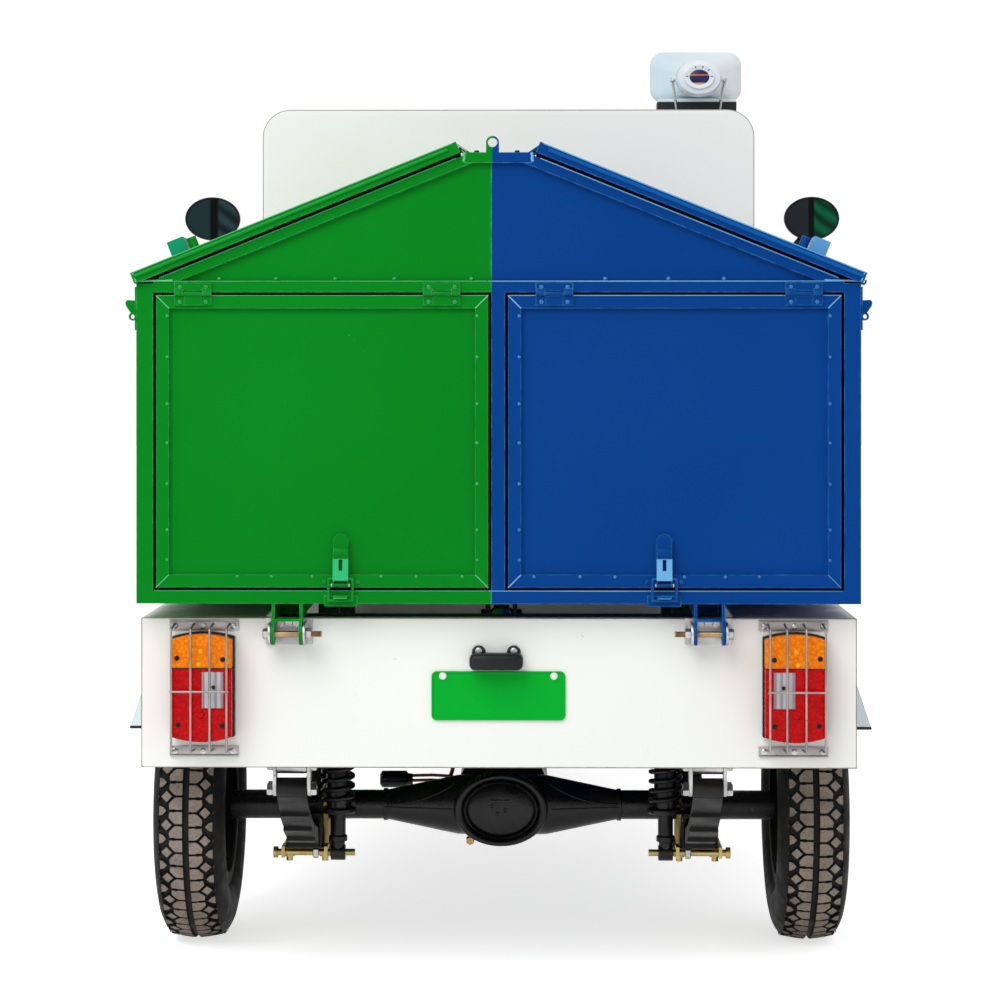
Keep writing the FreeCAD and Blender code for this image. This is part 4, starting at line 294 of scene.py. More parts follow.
DRUM = [(-0.080, 0.0), (-0.080, 0.046), (-0.032, 0.064), (-0.030, 0.080), (0.028, 0.0825), (0.036, 0.0845),
        (0.050, 0.0850), (0.0560, 0.0835), (0.0590, 0.0790), (0.0590, 0.0750), (0.0550, 0.0695),
        (0.0530, 0.0680), (0.0575, 0.0665), (0.0590, 0.0640), (0.0575, 0.0615), (0.0540, 0.0600),
        (0.0550, 0.0585), (0.0580, 0.0530), (0.0610, 0.0300), (0.0620, 0.0)]
drum = turned("axle_drum", DRUM, steps=64)
drum.scale = (1.0, 1.0, DRUM_SQUASH)
drum.location = (-0.002, AXLE_Y, DRUM_Z)
complete(drum, "chassis", axle_black, angle=50)


def pressed_block(name, low, high, width, segments=3):
    """A block between two corners with all its edges rounded."""
    low, high = Vector(low), Vector(high)
    deselect()
    bpy.ops.mesh.primitive_cube_add(size=1, location=(low + high) / 2, scale=high - low)
    block = bpy.context.object
    block.name = name
    apply_place(block)
    bpy.ops.object.mode_set(mode="EDIT")
    bpy.ops.mesh.select_all(action="SELECT")
    bpy.ops.mesh.bevel(offset=width, segments=segments, affect="EDGES")
    bpy.ops.object.mode_set(mode="OBJECT")
    return block


for side, word in SIDES:
    pad = pressed_block("spring_pad_" + word, (side * SPRING_X - 0.025, -0.912, 0.2065),
                        (side * SPRING_X + 0.025, -0.868, 0.232), 0.003)
    complete(pad, "chassis", axle_black)
lug = pressed_block("cover_lug", (-0.022, -0.9535, 0.2505), (0.014, -0.9500, 0.2550), 0.0012)
complete(lug, "chassis", axle_black)
cover_mark = turned("cover_mark", [(0.0, 0.0040), (0.0010, 0.0040), (0.0016, 0.0028), (0.0010, 0.0018),
                                   (0.0010, 0.0)], steps=12)
spots = [moved(-0.018, -0.9510, 0.2430), moved(0.006, -0.9515, 0.2360), moved(-0.008, -0.9515, 0.2290)]
complete(copies("cover_marks", cover_mark, spots), "chassis", axle_black)
brass, tree, shader = new_finish("brass", 1.0, 0.5)
coloured(tree, shader, mixed(tree, cloud(tree, 60.0), (0.45, 0.28, 0.08), (0.25, 0.15, 0.05)))
gloss(tree, shader, cloud(tree, 90.0), 0.25, 0.5)
AXLE_SEAM = ((0.212, 0.0290), (0.200, 0.0282), (0.140, 0.0408), (0.088, 0.0515))
CREASE_STEPS = 8
for side, word in SIDES:
    seam = [(side * x, AXLE_Y - out, 0.2360) for x, out in AXLE_SEAM]
    complete(round_bar("axle_seam_" + word, seam, 0.0014), "chassis", axle_black)
    crease = []
    for step in range(CREASE_STEPS + 1):
        share = step / CREASE_STEPS
        rise = 0.005 + 0.037 * share * share
        radius = 0.0285 + 0.0245 * share
        out = math.sqrt(radius * radius - rise * rise)
        crease.append((side * (0.205 - 0.120 * share), AXLE_Y - out, AXLE_Z + rise))
    complete(round_bar("arm_crease_" + word, crease, 0.0018, smooth=True), "chassis", axle_black)


def plated(name, colour, tarnish, roughness, stain):
    """Zinc plate: bright metal with dull clouds, fine scratches and a few stains."""
    material, tree, shader = new_finish(name, 1.0, 0.5)
    dull = band(tree, cloud(tree, 22.0, 6.0), 0.35, 0.70, 0.0, 0.8)
    shade = mixed(tree, dull, colour, tarnish)
    spots = band(tree, cloud(tree, 110.0, 6.0), 0.66 - stain, 0.74 - stain, 0.0, 0.65)
    shade = mixed(tree, spots, shade, (0.16, 0.08, 0.035))
    coloured(tree, shader, shade)
    grain = cloud(tree, 500.0, 3.0, (1.0, 1.0, 0.12))
    gloss(tree, shader, cloud(tree, 45.0, 4.0), roughness - 0.08, roughness + 0.16)
    raised(tree, shader, [(grain, 0.0001), (cloud(tree, 160.0), 0.0002)])
    return material


PIPE_Y = -0.8000
copper = plated("brake_pipe", (0.30, 0.085, 0.035), (0.14, 0.045, 0.022), 0.45, 0.05)
junction = turned("pipe_junction", [(-0.030, 0.0), (-0.030, 0.010), (-0.026, 0.0155), (0.018, 0.0155),
                                    (0.022, 0.011), (0.030, 0.010), (0.030, 0.0)],
                  (-0.1960, PIPE_Y, 0.2690), (1, 0, 0), steps=24)
complete(junction, "chassis", axle_black)
for height, far, place in ((0.2755, -0.0920, "upper"), (0.2665, -0.1000, "lower")):
    pipe = [(-0.1700, PIPE_Y, height), (-0.1300, PIPE_Y, height + 0.0010), (far, PIPE_Y, height - 0.0010)]
    complete(round_bar("brake_pipe_" + place, pipe, 0.0028), "chassis", copper)
riser = [(-0.1000, PIPE_Y, 0.2665), (-0.0930, PIPE_Y, 0.2820), (-0.0890, -0.7950, 0.3100),
         (-0.0890, -0.7900, 0.4020)]
complete(round_bar("brake_pipe_riser", riser, 0.0040, smooth=True), "chassis", copper)
plug = turned("drain_plug", [(-0.010, 0.0), (-0.010, 0.008), (0.006, 0.008), (0.008, 0.0065), (0.008, 0.0)],
              (-0.0570, AXLE_Y - 0.040, 0.1790), steps=6)
complete(plug, "chassis", brass)


# Leaf springs
# Packs of five steel leaves under the axle, hung on zinc-plated shackles and held by yellow U-bolts.
# The leaves are painted and dusty, with a little rust where they rub; clips keep them in line.


zinc = plated("zinc_plate", (0.50, 0.50, 0.49), (0.24, 0.24, 0.24), 0.32, 0.0)
yellow_zinc = plated("yellow_zinc_plate", (0.50, 0.37, 0.13), (0.26, 0.21, 0.11), 0.36, 0.02)
spring_paint = old_paint("spring_paint", (0.010, 0.010, 0.011), (0.034, 0.030, 0.026), 0.45, 0.2, 0.02)
dress(spring_paint, "leaf_springs")
dress(zinc, "spring_hangers")
dress(yellow_zinc, "spring_clamps")
soften(0.0012, "leaf_springs", "spring_clamps", "spring_hangers")
NUT = [(0.0, 0.0), (0.0, 0.0105), (0.0005, 0.0112), (0.0085, 0.0112), (0.0100, 0.0098), (0.0100, 0.0062),
       (0.0080, 0.0055), (0.0080, 0.0)]
SHACKLE_HALF = 0.032
SHACKLE_BEHIND = 0.3478
CLIP_Y = -0.985
SHOCK_Y = -0.975
for side, word in SIDES:
    shank = []
    for height in (0.3175, 0.359):
        for way in (-1, 1):
            face = side * SPRING_X + way * SHACKLE_HALF
            turn = Matrix.Rotation(math.radians(90 * way), 4, "Y")
            shank.append(moved(face, AXLE_Y - SHACKLE_BEHIND, height) @ turn)
    nut = turned("shackle_nut", [(a, r * 0.98) for a, r in NUT], (0, 0, 0), (0, 0, 1), (0, 1, 0), steps=6)
    complete(copies("shackle_nuts_" + word, nut, shank), "chassis", zinc)
    clip = [(side * SPRING_X + u, CLIP_Y, v) for u, v in
            ((-0.028, 0.2205), (-0.028, 0.176), (0.028, 0.176), (0.028, 0.2205))]
    complete(round_bar("rebound_clip_" + word, clip, 0.0035), "chassis", spring_paint)
    bolt_nut = turned("bolt_nut", NUT, (0, 0, 0), (1, 0, 0), steps=6)
    facing = Matrix.Rotation(0 if side > 0 else math.pi, 4, "Z")
    ends = [moved(side * SPRING_X - side * 0.024, SHOCK_Y, 0.165) @ facing]
    complete(copies("clamp_bolt_nut_" + word, bolt_nut, ends), "chassis", zinc)


# Shock absorbers
# Black hydraulic dampers inside black coil springs, pinned below to the clamp's long bolt.
# The coil is one wound wire of 8 mm, held between the damper's two seats.


shock_black = old_paint("shock_black", (0.005, 0.005, 0.006), (0.016, 0.015, 0.014), 0.32, 0.25, 0.0)
SHOCK_X = 0.291
DAMPER = [(0.172, 0.0), (0.172, 0.0115), (0.184, 0.0120), (0.186, 0.0165), (0.194, 0.0165),
          (0.197, 0.0135), (0.234, 0.0135), (0.236, 0.0300), (0.238, 0.0320), (0.243, 0.0320),
          (0.245, 0.0300), (0.246, 0.0205), (0.338, 0.0205), (0.341, 0.0190), (0.341, 0.0085),
          (0.474, 0.0085), (0.475, 0.0310), (0.477, 0.0320), (0.481, 0.0320), (0.483, 0.0300),
          (0.484, 0.0125), (0.503, 0.0120), (0.503, 0.0)]
EYE = [(-0.0130, 0.0060), (-0.0130, 0.0130), (-0.0120, 0.0140), (0.0120, 0.0140), (0.0130, 0.0130),
       (0.0130, 0.0060), (-0.0130, 0.0060)]
COIL_TURNS = 13
COIL_STEPS = 12
COIL_R = 0.0272
COIL_FOOT = 0.250
COIL_TOP = 0.470
for side, word in SIDES:
    x = side * SHOCK_X
    damper = turned("damper_" + word, DAMPER, (x, SHOCK_Y, 0.0), (0, 0, 1), (1, 0, 0), steps=32)
    complete(damper, "chassis", shock_black)
    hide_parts("shock_absorbers")
    for height, place in ((0.165, "lower"), (0.510, "upper")):
        eye = turned("shock_eye_{}_{}".format(place, word), EYE, (x, SHOCK_Y, height), (1, 0, 0), steps=24)
        complete(eye, "chassis", shock_black)
    wound = []
    for step in range(COIL_TURNS * COIL_STEPS + 1):
        angle = 2 * math.pi * step / COIL_STEPS
        rise = COIL_FOOT + (COIL_TOP - COIL_FOOT) * step / (COIL_TURNS * COIL_STEPS)
        wound.append((x + COIL_R * math.cos(angle), SHOCK_Y + COIL_R * math.sin(angle), rise))
    wire = round_bar("coil_spring_" + word, wound, 0.0042, smooth=True)
    complete(wire, "chassis", shock_black, angle=60)


# Wheels and tyres
# Pressed steel rims on finned drums, held by five nuts, carry cross-ply tyres 474 mm across.
# The tread has a centre groove, two rows of paired blocks, diamonds in their notches and shoulder
# blocks. Its face is worn grey-brown by dust while the grooves stay black.


rim_paint, tree, shader = new_finish("rim_paint", 0.0, 0.03)
coloured(tree, shader, mixed(tree, band(tree, cloud(tree, 14.0, 5.0), 0.4, 0.7, 0.0, 0.8),
                             (0.050, 0.050, 0.050), (0.090, 0.080, 0.068)))
gloss(tree, shader, cloud(tree, 60.0), 0.60, 0.80)
raised(tree, shader, [(cloud(tree, 300.0), 0.0002)])
dress(rim_paint, "rim_front", "rim_rear_left", "rim_rear_right")
soften(0.0010, "rim_front", "rim_rear_left", "rim_rear_right")

rubber_wall, tree, shader = new_finish("tyre_wall", 0.0, 0.15)
coloured(tree, shader, mixed(tree, band(tree, cloud(tree, 16.0, 6.0), 0.40, 0.75, 0.0, 0.8),
                             (0.008, 0.008, 0.008), (0.024, 0.022, 0.020)))
gloss(tree, shader, cloud(tree, 45.0), 0.55, 0.80)
raised(tree, shader, [(cloud(tree, 300.0, 4.0), 0.0003)])
tread_dust, tree, shader = new_finish("tread_dust", 0.0, 0.15)
worn = mixed(tree, band(tree, cloud(tree, 28.0, 6.0), 0.34, 0.70, 0.0, 1.0), (0.360, 0.300, 0.250),
             (0.230, 0.196, 0.166))
fine = band(tree, cloud(tree, 320.0, 4.0), 0.45, 0.75, 0.0, 0.5)
coloured(tree, shader, mixed(tree, fine, worn, (0.030, 0.027, 0.025)))
gloss(tree, shader, cloud(tree, 60.0), 0.80, 0.95)
raised(tree, shader, [(cloud(tree, 420.0, 5.0), 0.0004), (cloud(tree, 90.0), 0.0005)])

TYRE_R = 0.237
TREAD_DEEP = 0.006
TREAD_HALF = 0.0475
PITCHES = 30
PITCH = 2 * math.pi * TYRE_R / PITCHES
half_pitch = PITCH / 2
INNER_BLOCK = [(0.0048, 0.0013), (0.0170, 0.0008), (0.0215, 0.0030), (0.0290, 0.0112), (0.0300, 0.0150),
               (0.0285, half_pitch - 0.0012), (0.0200, half_pitch - 0.0020), (0.0160, half_pitch - 0.0008),
               (0.0048, half_pitch - 0.0013)]
DIAMOND = [(0.0225, 0.0), (0.0335, -0.0112), (0.0440, 0.0), (0.0335, 0.0112)]
SHOULDER = [(0.0325, half_pitch), (0.0390, half_pitch - 0.0075), (0.0470, half_pitch - 0.0100),
            (0.0470, half_pitch + 0.0100), (0.0390, half_pitch + 0.0075)]
SHOULDER_NIB = [(0.0465, -0.0035), (0.0475, -0.0100), (0.0475, 0.0100), (0.0465, 0.0035)]


def tread_block(outline):
    """A rubber block drawn flat, u across the tyre and s along it, raised and chamfered at its top."""
    deselect()
    bpy.ops.mesh.primitive_circle_add(vertices=len(outline), fill_type="NGON")
    block = bpy.context.object
    for vertex, (u, s) in zip(block.data.vertices, outline):
        vertex.co = (u, s, -TREAD_DEEP)
    bpy.ops.object.mode_set(mode="EDIT")
    bpy.ops.mesh.select_all(action="SELECT")
    bpy.ops.mesh.extrude_region_move(TRANSFORM_OT_translate={"value": (0, 0, TREAD_DEEP - 0.0009)})
    bpy.ops.mesh.inset(thickness=0.0010, depth=0.0009)
    bpy.ops.object.mode_set(mode="OBJECT")
    points = [vertex.co.copy() for vertex in block.data.vertices]
    faces = [list(face.vertices) for face in block.data.polygons]
    top = [all(points[i].z > -0.0005 for i in face) for face in faces]
    bpy.data.objects.remove(block)
    return points, faces, top


def crown(u):
    """Radius of the tread's face at a distance u from the tyre's middle."""
    return TYRE_R - 0.0070 * (abs(u) / TREAD_HALF) ** 1.5


def treaded_tyre(name, centre_x, centre_y, body):
    """The carcass is spun from its section, then every block is laid on it round the wheel."""
    section = [(0.046, 0.127), (0.046, 0.144), (0.0520, 0.150), (0.0590, 0.160), (0.0618, 0.172),
               (0.0625, 0.182), (0.0612, 0.196), (0.0585, 0.208), (0.0560, 0.2135), (0.0520, 0.2210)]
    groove = [(u, crown(u) - TREAD_DEEP + 0.0004) for u in (0.0478, 0.0360, 0.0200, 0.0)]
    right = section + groove
    left = [(-u, r) for u, r in reversed(right[:-1])]
    inside = [(-0.033, 0.129), (-0.0500, 0.181), (-0.0385, 0.2145), (0.0385, 0.2145), (0.0500, 0.181),
              (0.033, 0.129)]
    piece = turned(name, right + left + inside + right[:1], (centre_x, centre_y, TYRE_R),
                   (1, 0, 0), steps=120)
    blocks = [tread_block(outline) for outline in (INNER_BLOCK, DIAMOND, SHOULDER, SHOULDER_NIB)]
    blocks.append(tread_block([(u, PITCH - s) for u, s in reversed(INNER_BLOCK)]))
    work = bmesh.new()
    work.from_mesh(piece.data)
    for side in (-1, 1):
        stagger = 0.0 if side < 0 else half_pitch * 0.84
        for pitch in range(PITCHES):
            for points, faces, top in blocks:
                made = []
                for u, s, rise in points:
                    angle = (s + stagger + pitch * PITCH) / TYRE_R
                    radius = crown(u) + rise
                    made.append(work.verts.new((centre_x + side * u, centre_y - radius * math.cos(angle),
                                                TYRE_R + radius * math.sin(angle))))
                for face, is_top in zip(faces, top):
                    order = face if side < 0 else face[::-1]
                    new_face = work.faces.new([made[i] for i in order])
                    new_face.material_index = 1 if is_top else 0
    bmesh.ops.recalc_face_normals(work, faces=work.faces)
    work.to_mesh(piece.data)
    work.free()
    worn_faces = [face.index for face in piece.data.polygons if face.material_index == 1]
    complete(piece, body, rubber_wall, angle=28)
    piece.data.materials.append(tread_dust)
    for index in worn_faces:
        piece.data.polygons[index].material_index = 1
    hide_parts(name.replace("treaded_", ""))
    return piece


REAR_WHEEL_X = 0.5445
FRONT_AXLE_Y = 1.190
NUT_COUNT = 5
NUT_RING_R = 0.054
treaded_tyre("treaded_tyre_rear_left", -REAR_WHEEL_X, AXLE_Y, "wheel_rear_left")
treaded_tyre("treaded_tyre_rear_right", REAR_WHEEL_X, AXLE_Y, "wheel_rear_right")
treaded_tyre("treaded_tyre_front", 0.0, FRONT_AXLE_Y, "wheel_front")
for side, word in SIDES:
    nut = turned("wheel_nut", [(a * 1.2, r * 0.86) for a, r in NUT], (0, 0, 0), (side, 0, 0), steps=6)
    ring = []
    for step in range(NUT_COUNT):
        angle = 2 * math.pi * step / NUT_COUNT
        ring.append(moved(side * (REAR_WHEEL_X + 0.0265), AXLE_Y + NUT_RING_R * math.cos(angle),
                          AXLE_Z + NUT_RING_R * math.sin(angle)))
    complete(copies("wheel_nuts_" + word, nut, ring), "wheel_rear_" + word, zinc)
HUB_CAP = [(0.0, 0.0300), (0.0035, 0.0300), (0.0045, 0.0285), (0.0085, 0.0270), (0.0115, 0.0220),
           (0.0130, 0.0120), (0.0135, 0.0)]
for side, word in SIDES:
    cap = turned("hub_cap_" + word, HUB_CAP, (side * 0.5845, AXLE_Y, AXLE_Z), (side, 0, 0), steps=32)
    complete(cap, "wheel_rear_" + word, rim_paint)


# Rear body
# Folded sheet steel, sprayed white: the tail panel, the two sides and the slanted wheel flares.
# The gloss enamel is clean, faintly rippled, and rusts in specks where the folded edges rub.


def product(tree, first, second):
    """Two shares multiplied, so that both have to hold."""
    node = tree.nodes.new("ShaderNodeMath")
    node.operation = "MULTIPLY"
    tree.links.new(first, node.inputs[0])
    tree.links.new(second, node.inputs[1])
    return node.outputs["Value"]


def edge_line(tree, radius):
    """Rises from 0 on a flat face to 1 along a sharp edge."""
    soft = tree.nodes.new("ShaderNodeBevel")
    soft.samples = 2
    soft.inputs["Radius"].default_value = radius
    flat = tree.nodes.new("ShaderNodeNewGeometry")
    dot = tree.nodes.new("ShaderNodeVectorMath")
    dot.operation = "DOT_PRODUCT"
    tree.links.new(soft.outputs["Normal"], dot.inputs[0])
    tree.links.new(flat.outputs["Normal"], dot.inputs[1])
    return band(tree, dot.outputs["Value"], 0.995, 0.90, 0.0, 1.0)


def edge_wear_and_highlight(tree, most):
    """Sharp edges in patches: a painted highlight where the edge colour is a lighter green or blue,
    rubbed-through wear where it is a darker tone on white paint.
    """
    return product(tree, edge_line(tree, 0.0022), band(tree, cloud(tree, 60.0, 5.0), 0.35, 0.60, 0.1, most))


def enamel(name, colour, shade, roughness, specular, ripple, speck, speck_colour, edge_colour=None,
           edge_share=0.0):
    """Sprayed gloss paint: slow changes of colour, orange peel, gently rippled sheet, specks and an edge
    colour on sharp edges, which is wear on the white paints and a painted highlight on the green and blue
    ones.
    """
    material, tree, shader = new_finish(name, 0.0, specular)
    tone = mixed(tree, band(tree, cloud(tree, 2.2, 4.0), 0.30, 0.70, 0.0, 1.0), colour, shade)
    spots = band(tree, cloud(tree, 160.0, 6.0), 0.745 - speck, 0.79 - speck, 0.0, 0.8)
    spots = product(tree, spots, band(tree, cloud(tree, 11.0, 4.0), 0.50, 0.62, 0.0, 1.0))
    tone = mixed(tree, spots, tone, speck_colour)
    # Edge colour on sharp edges: darker wear on white, a painted highlight on green and blue.
    if edge_colour is not None:
        tone = mixed(tree, edge_wear_and_highlight(tree, edge_share), tone, edge_colour)
    coloured(tree, shader, tone)
    gloss(tree, shader, cloud(tree, 18.0, 5.0), roughness - 0.05, roughness + 0.09)
    raised(tree, shader, [(cloud(tree, 700.0, 2.0), 0.00006), (cloud(tree, ripple, 2.0), 0.0016)])
    return material


white = enamel("white_enamel", (0.895, 0.90, 0.86), (0.87, 0.88, 0.845), 0.36, 0.2, 5.0, 0.0,
               (0.30, 0.16, 0.08), (0.50, 0.48, 0.42), 0.35)
body_white = enamel("body_white", (0.87, 0.88, 0.835), (0.845, 0.86, 0.825), 0.32, 0.2, 6.0, 0.01,
                    (0.32, 0.18, 0.09), (0.44, 0.33, 0.22), 0.85)
dress(body_white, "rear_panel", "body_side_left", "body_side_right")
soften(0.0030, "rear_panel")
soften(0.0020, "body_side_left", "body_side_right")
soften(0.0012, "wheel_flares")
edge_grime = old_paint("edge_grime", (0.20, 0.165, 0.130), (0.36, 0.33, 0.29), 0.5, 0.2, 0.05)
PANEL_EDGE_Y = -1.3892
around = [(x, PANEL_EDGE_Y, z) for x, z in ((0.5822, 0.6192), (0.5822, 0.3758), (-0.5822, 0.3758),
                                            (-0.5822, 0.6192))]
complete(round_bar("panel_edge", around, 0.0009, closed=True), "chassis", edge_grime)
# A bluish white: a painted sky reflection on the white flares.
flare_white_sky_sheen = enamel("flare_white_sky_sheen", (0.70, 0.78, 0.81), (0.62, 0.72, 0.76), 0.34, 0.3, 6.0, 0.02,
                     (0.30, 0.18, 0.10), (0.30, 0.26, 0.22), 0.9)
dress(flare_white_sky_sheen, "wheel_flares")
FLARE_FOOT_Z = 0.4150
FLARE_FOOT = ((0.5860, -1.189), (0.6290, -1.189), (0.6300, -1.150), (0.6300, -0.630), (0.6290, -0.591),
              (0.5860, -0.591))
flare_rubber = old_paint("flare_rubber", (0.012, 0.012, 0.012), (0.035, 0.032, 0.030), 0.6, 0.2, -0.2)
for side, word in SIDES:
    lip = [(side * x, y, FLARE_FOOT_Z) for x, y in FLARE_FOOT]
    complete(round_bar("flare_edge_" + word, lip, 0.0028), "chassis", flare_rubber)


# Tail lamps
# Black moulded housings with amber and red acrylic lenses and a clear ribbed reverse window.
# Drilled zinc strips carry bowed guard rods in front; cross-head screws hold lens and strips.


def grains(tree, scale):
    """Small closed cells fixed to the piece."""
    cells = tree.nodes.new("ShaderNodeTexVoronoi")
    cells.inputs["Scale"].default_value = scale
    tree.links.new(on_piece(tree), cells.inputs["Vector"])
    return cells.outputs["Distance"]


def upright_ribs(tree, scale):
    """Ribs side by side across the piece."""
    ribs = tree.nodes.new("ShaderNodeTexWave")
    ribs.bands_direction = "X"
    ribs.inputs["Scale"].default_value = scale
    tree.links.new(on_piece(tree), ribs.inputs["Vector"])
    return ribs.outputs["Fac"]


def lens_finish(name, colour, deep, pattern_scale, depth, pattern):
    """Clear coloured acrylic with its moulded prisms showing as darker and lighter cells."""
    material, tree, shader = new_finish(name, 0.0, 0.06)
    if pattern == "cells":
        relief = grains(tree, pattern_scale)
        share = band(tree, relief, 0.1, 0.7, 0.0, 1.0)
    else:
        relief = upright_ribs(tree, pattern_scale)
        share = band(tree, relief, 0.2, 0.9, 0.0, 1.0)
    tone = mixed(tree, share, colour, deep)
    coloured(tree, shader, mixed(tree, band(tree, cloud(tree, 25.0), 0.4, 0.7, 0.0, 0.25), tone, deep))
    gloss(tree, shader, cloud(tree, 80.0), 0.08, 0.2)
    shader.inputs["Coat Weight"].default_value = 0.05
    shader.inputs["Coat Roughness"].default_value = 0.05
    raised(tree, shader, [(relief, depth)])
    return material


amber = lens_finish("amber_acrylic", (0.95, 0.30, 0.002), (0.78, 0.15, 0.001), 170.0, 0.0005, "cells")
red = lens_finish("red_acrylic", (0.66, 0.0015, 0.004), (0.42, 0.0004, 0.001), 190.0, 0.0004, "cells")
# A pale amber for the painted glints on the lenses.
amber_glint = lens_finish("amber_glint", (0.98, 0.55, 0.010), (0.90, 0.36, 0.004), 300.0, 0.0003, "cells")
reverse = lens_finish("clear_acrylic", (0.62, 0.60, 0.62), (0.34, 0.30, 0.34), 32.0, 0.0010, "ribs")
black_plastic = old_paint("black_plastic", (0.009, 0.010, 0.012), (0.020, 0.021, 0.023), 0.38, 0.15, -0.2)
dress(amber, "amber_lenses", "front_indicators")
dress(red, "red_lenses")
dress(reverse, "reverse_lenses")
dress(black_plastic, "lamp_housings", "plate_lamp", "driver_controls")
guard_steel = plated("guard_steel", (0.34, 0.33, 0.32), (0.20, 0.19, 0.18), 0.40, 0.02)
soften(0.0020, "amber_lenses", "red_lenses", "plate_lamp")


def apply_modifier(piece, modifier):
    """Makes one modifier part of the piece's mesh."""
    bpy.context.view_layer.objects.active = piece
    bpy.ops.object.modifier_apply(modifier=modifier.name)


def cross_head(name, radius, height):
    """A pan-head screw facing the rear, a cross cut into its face."""
    head = turned(name, [(0.0, radius), (height * 0.45, radius), (height * 0.85, radius * 0.75),
                         (height, radius * 0.35), (height, 0.0)], steps=12)
    cutters = []
    for long_x in (True, False):
        deselect()
        size = (radius * 1.3, height, radius * 0.22) if long_x else (radius * 0.22, height, radius * 1.3)
        bpy.ops.mesh.primitive_cube_add(size=1, location=(0, -height, 0), scale=size)
        cutters.append(bpy.context.object)
    for cutter in cutters:
        cut = head.modifiers.new("slot", "BOOLEAN")
        cut.operation = "DIFFERENCE"
        cut.solver = "EXACT"
        cut.object = cutter
        apply_modifier(head, cut)
        bpy.data.objects.remove(cutter)
    return head


LENS_FACE = -1.432
LENS_SCREWS = ((0.519, 0.558), (0.445, 0.556), (0.517, 0.450), (0.446, 0.449))
GUARD_FACE = -1.4452
GUARD_BOW = ((-1.3915, 0.6105), (-1.4440, 0.6060), (GUARD_FACE, 0.6030), (GUARD_FACE, 0.4110),
             (-1.4440, 0.4085), (-1.3915, 0.4050))
STRIP_X = 0.4795
STRIP_HALF = 0.0565
WINDOW = ((0.4435, 0.4765), (0.4795, 0.4765), (0.4795, 0.5365), (0.4435, 0.5365))
WINDOW_RIBS = 7
for side, word in SIDES:
    places = [moved(side * x, LENS_FACE, z) for x, z in LENS_SCREWS]
    complete(copies("lens_screws_" + word, cross_head("lens_screw", 0.0042, 0.0022), places),
             "chassis", black_plastic)
    strip_places = [moved(side * x, -1.393, z) for x in (0.432, 0.481, 0.528) for z in (0.6065, 0.4025)]
    complete(copies("guard_screws_" + word, cross_head("guard_screw", 0.0052, 0.0030), strip_places),
             "chassis", zinc)
    stud = turned("lens_stud_" + word, [(0.0, 0.0075), (0.0010, 0.0075), (0.0032, 0.0055), (0.0042, 0.0)],
                  (side * 0.4815, LENS_FACE, 0.4670), steps=20)
    complete(stud, "chassis", red)
    for x_word, x in (("a", 0.4375), ("b", 0.4647), ("c", 0.4955), ("d", 0.5268)):
        bow = [(side * x, y, z) for y, z in GUARD_BOW]
        rod = round_bar("guard_rod_{}_{}".format(x_word, word), bow, 0.0019, sides=2)
        complete(rod, "chassis", guard_steel, angle=60)
        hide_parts("lamp_guards")
    across = [(side * x, GUARD_FACE, 0.5050) for x in (0.4345, 0.5298)]
    complete(round_bar("guard_cross_rod_" + word, across, 0.0018), "chassis", guard_steel, angle=60)
    for place, low_z, high_z, lip_z in (("high", 0.5995, 0.6160, 0.6155), ("low", 0.3950, 0.4110, 0.3955)):
        ending = "{}_{}".format(place, word)
        strip = pressed_block("guard_strip_" + ending, (side * STRIP_X - STRIP_HALF, -1.3930, low_z),
                              (side * STRIP_X + STRIP_HALF, -1.3900, high_z), 0.0007, 2)
        complete(strip, "chassis", guard_steel)
        lip = round_bar("guard_lip_" + ending, [(side * x, -1.3940, lip_z) for x in (0.4235, 0.5355)],
                        0.0013)
        complete(lip, "chassis", guard_steel)
    # Painted glints: small pale amber domes where light catches the amber lens.
    glint = turned("painted_glint", [(0.0, 0.0042), (0.0010, 0.0038), (0.0018, 0.0020), (0.0020, 0.0)],
                   steps=16)
    marks = [moved(side * 0.4807, LENS_FACE, 0.5686), moved(side * 0.4840, LENS_FACE, 0.5475)]
    complete(copies("painted_glints_" + word, glint, marks), "chassis", amber_glint)
    dot = turned("reverse_dot_" + word, [(0.0, 0.0032), (0.0010, 0.0030), (0.0020, 0.0015), (0.0022, 0.0)],
                 (side * 0.4600, LENS_FACE - 0.0012, 0.5110), steps=14)
    complete(dot, "chassis", black_plastic)
    window = [(side * x, LENS_FACE - 0.0002, z) for x, z in WINDOW]
    complete(round_bar("reverse_rim_" + word, window, 0.0010, closed=True), "chassis", red)
    joint_line = [(side * x, LENS_FACE - 0.0001, 0.541) for x in (0.4315, 0.5275)]
    complete(round_bar("lens_joint_" + word, joint_line, 0.0009), "chassis", black_plastic)
    for step in range(WINDOW_RIBS):
        x = side * (0.4465 + 0.005 * step)
        line = [(x, LENS_FACE - 0.0001, 0.4785), (x, LENS_FACE - 0.0001, 0.5345)]
        complete(round_bar("reverse_rib_{}_{}".format(word, step), line, 0.0011), "chassis", reverse)


# Number plate and its lamp
# A blank green aluminium plate with a rolled edge, held by two white-capped screws, and the black
# moulded lamp hood above it, screwed on through its ears.


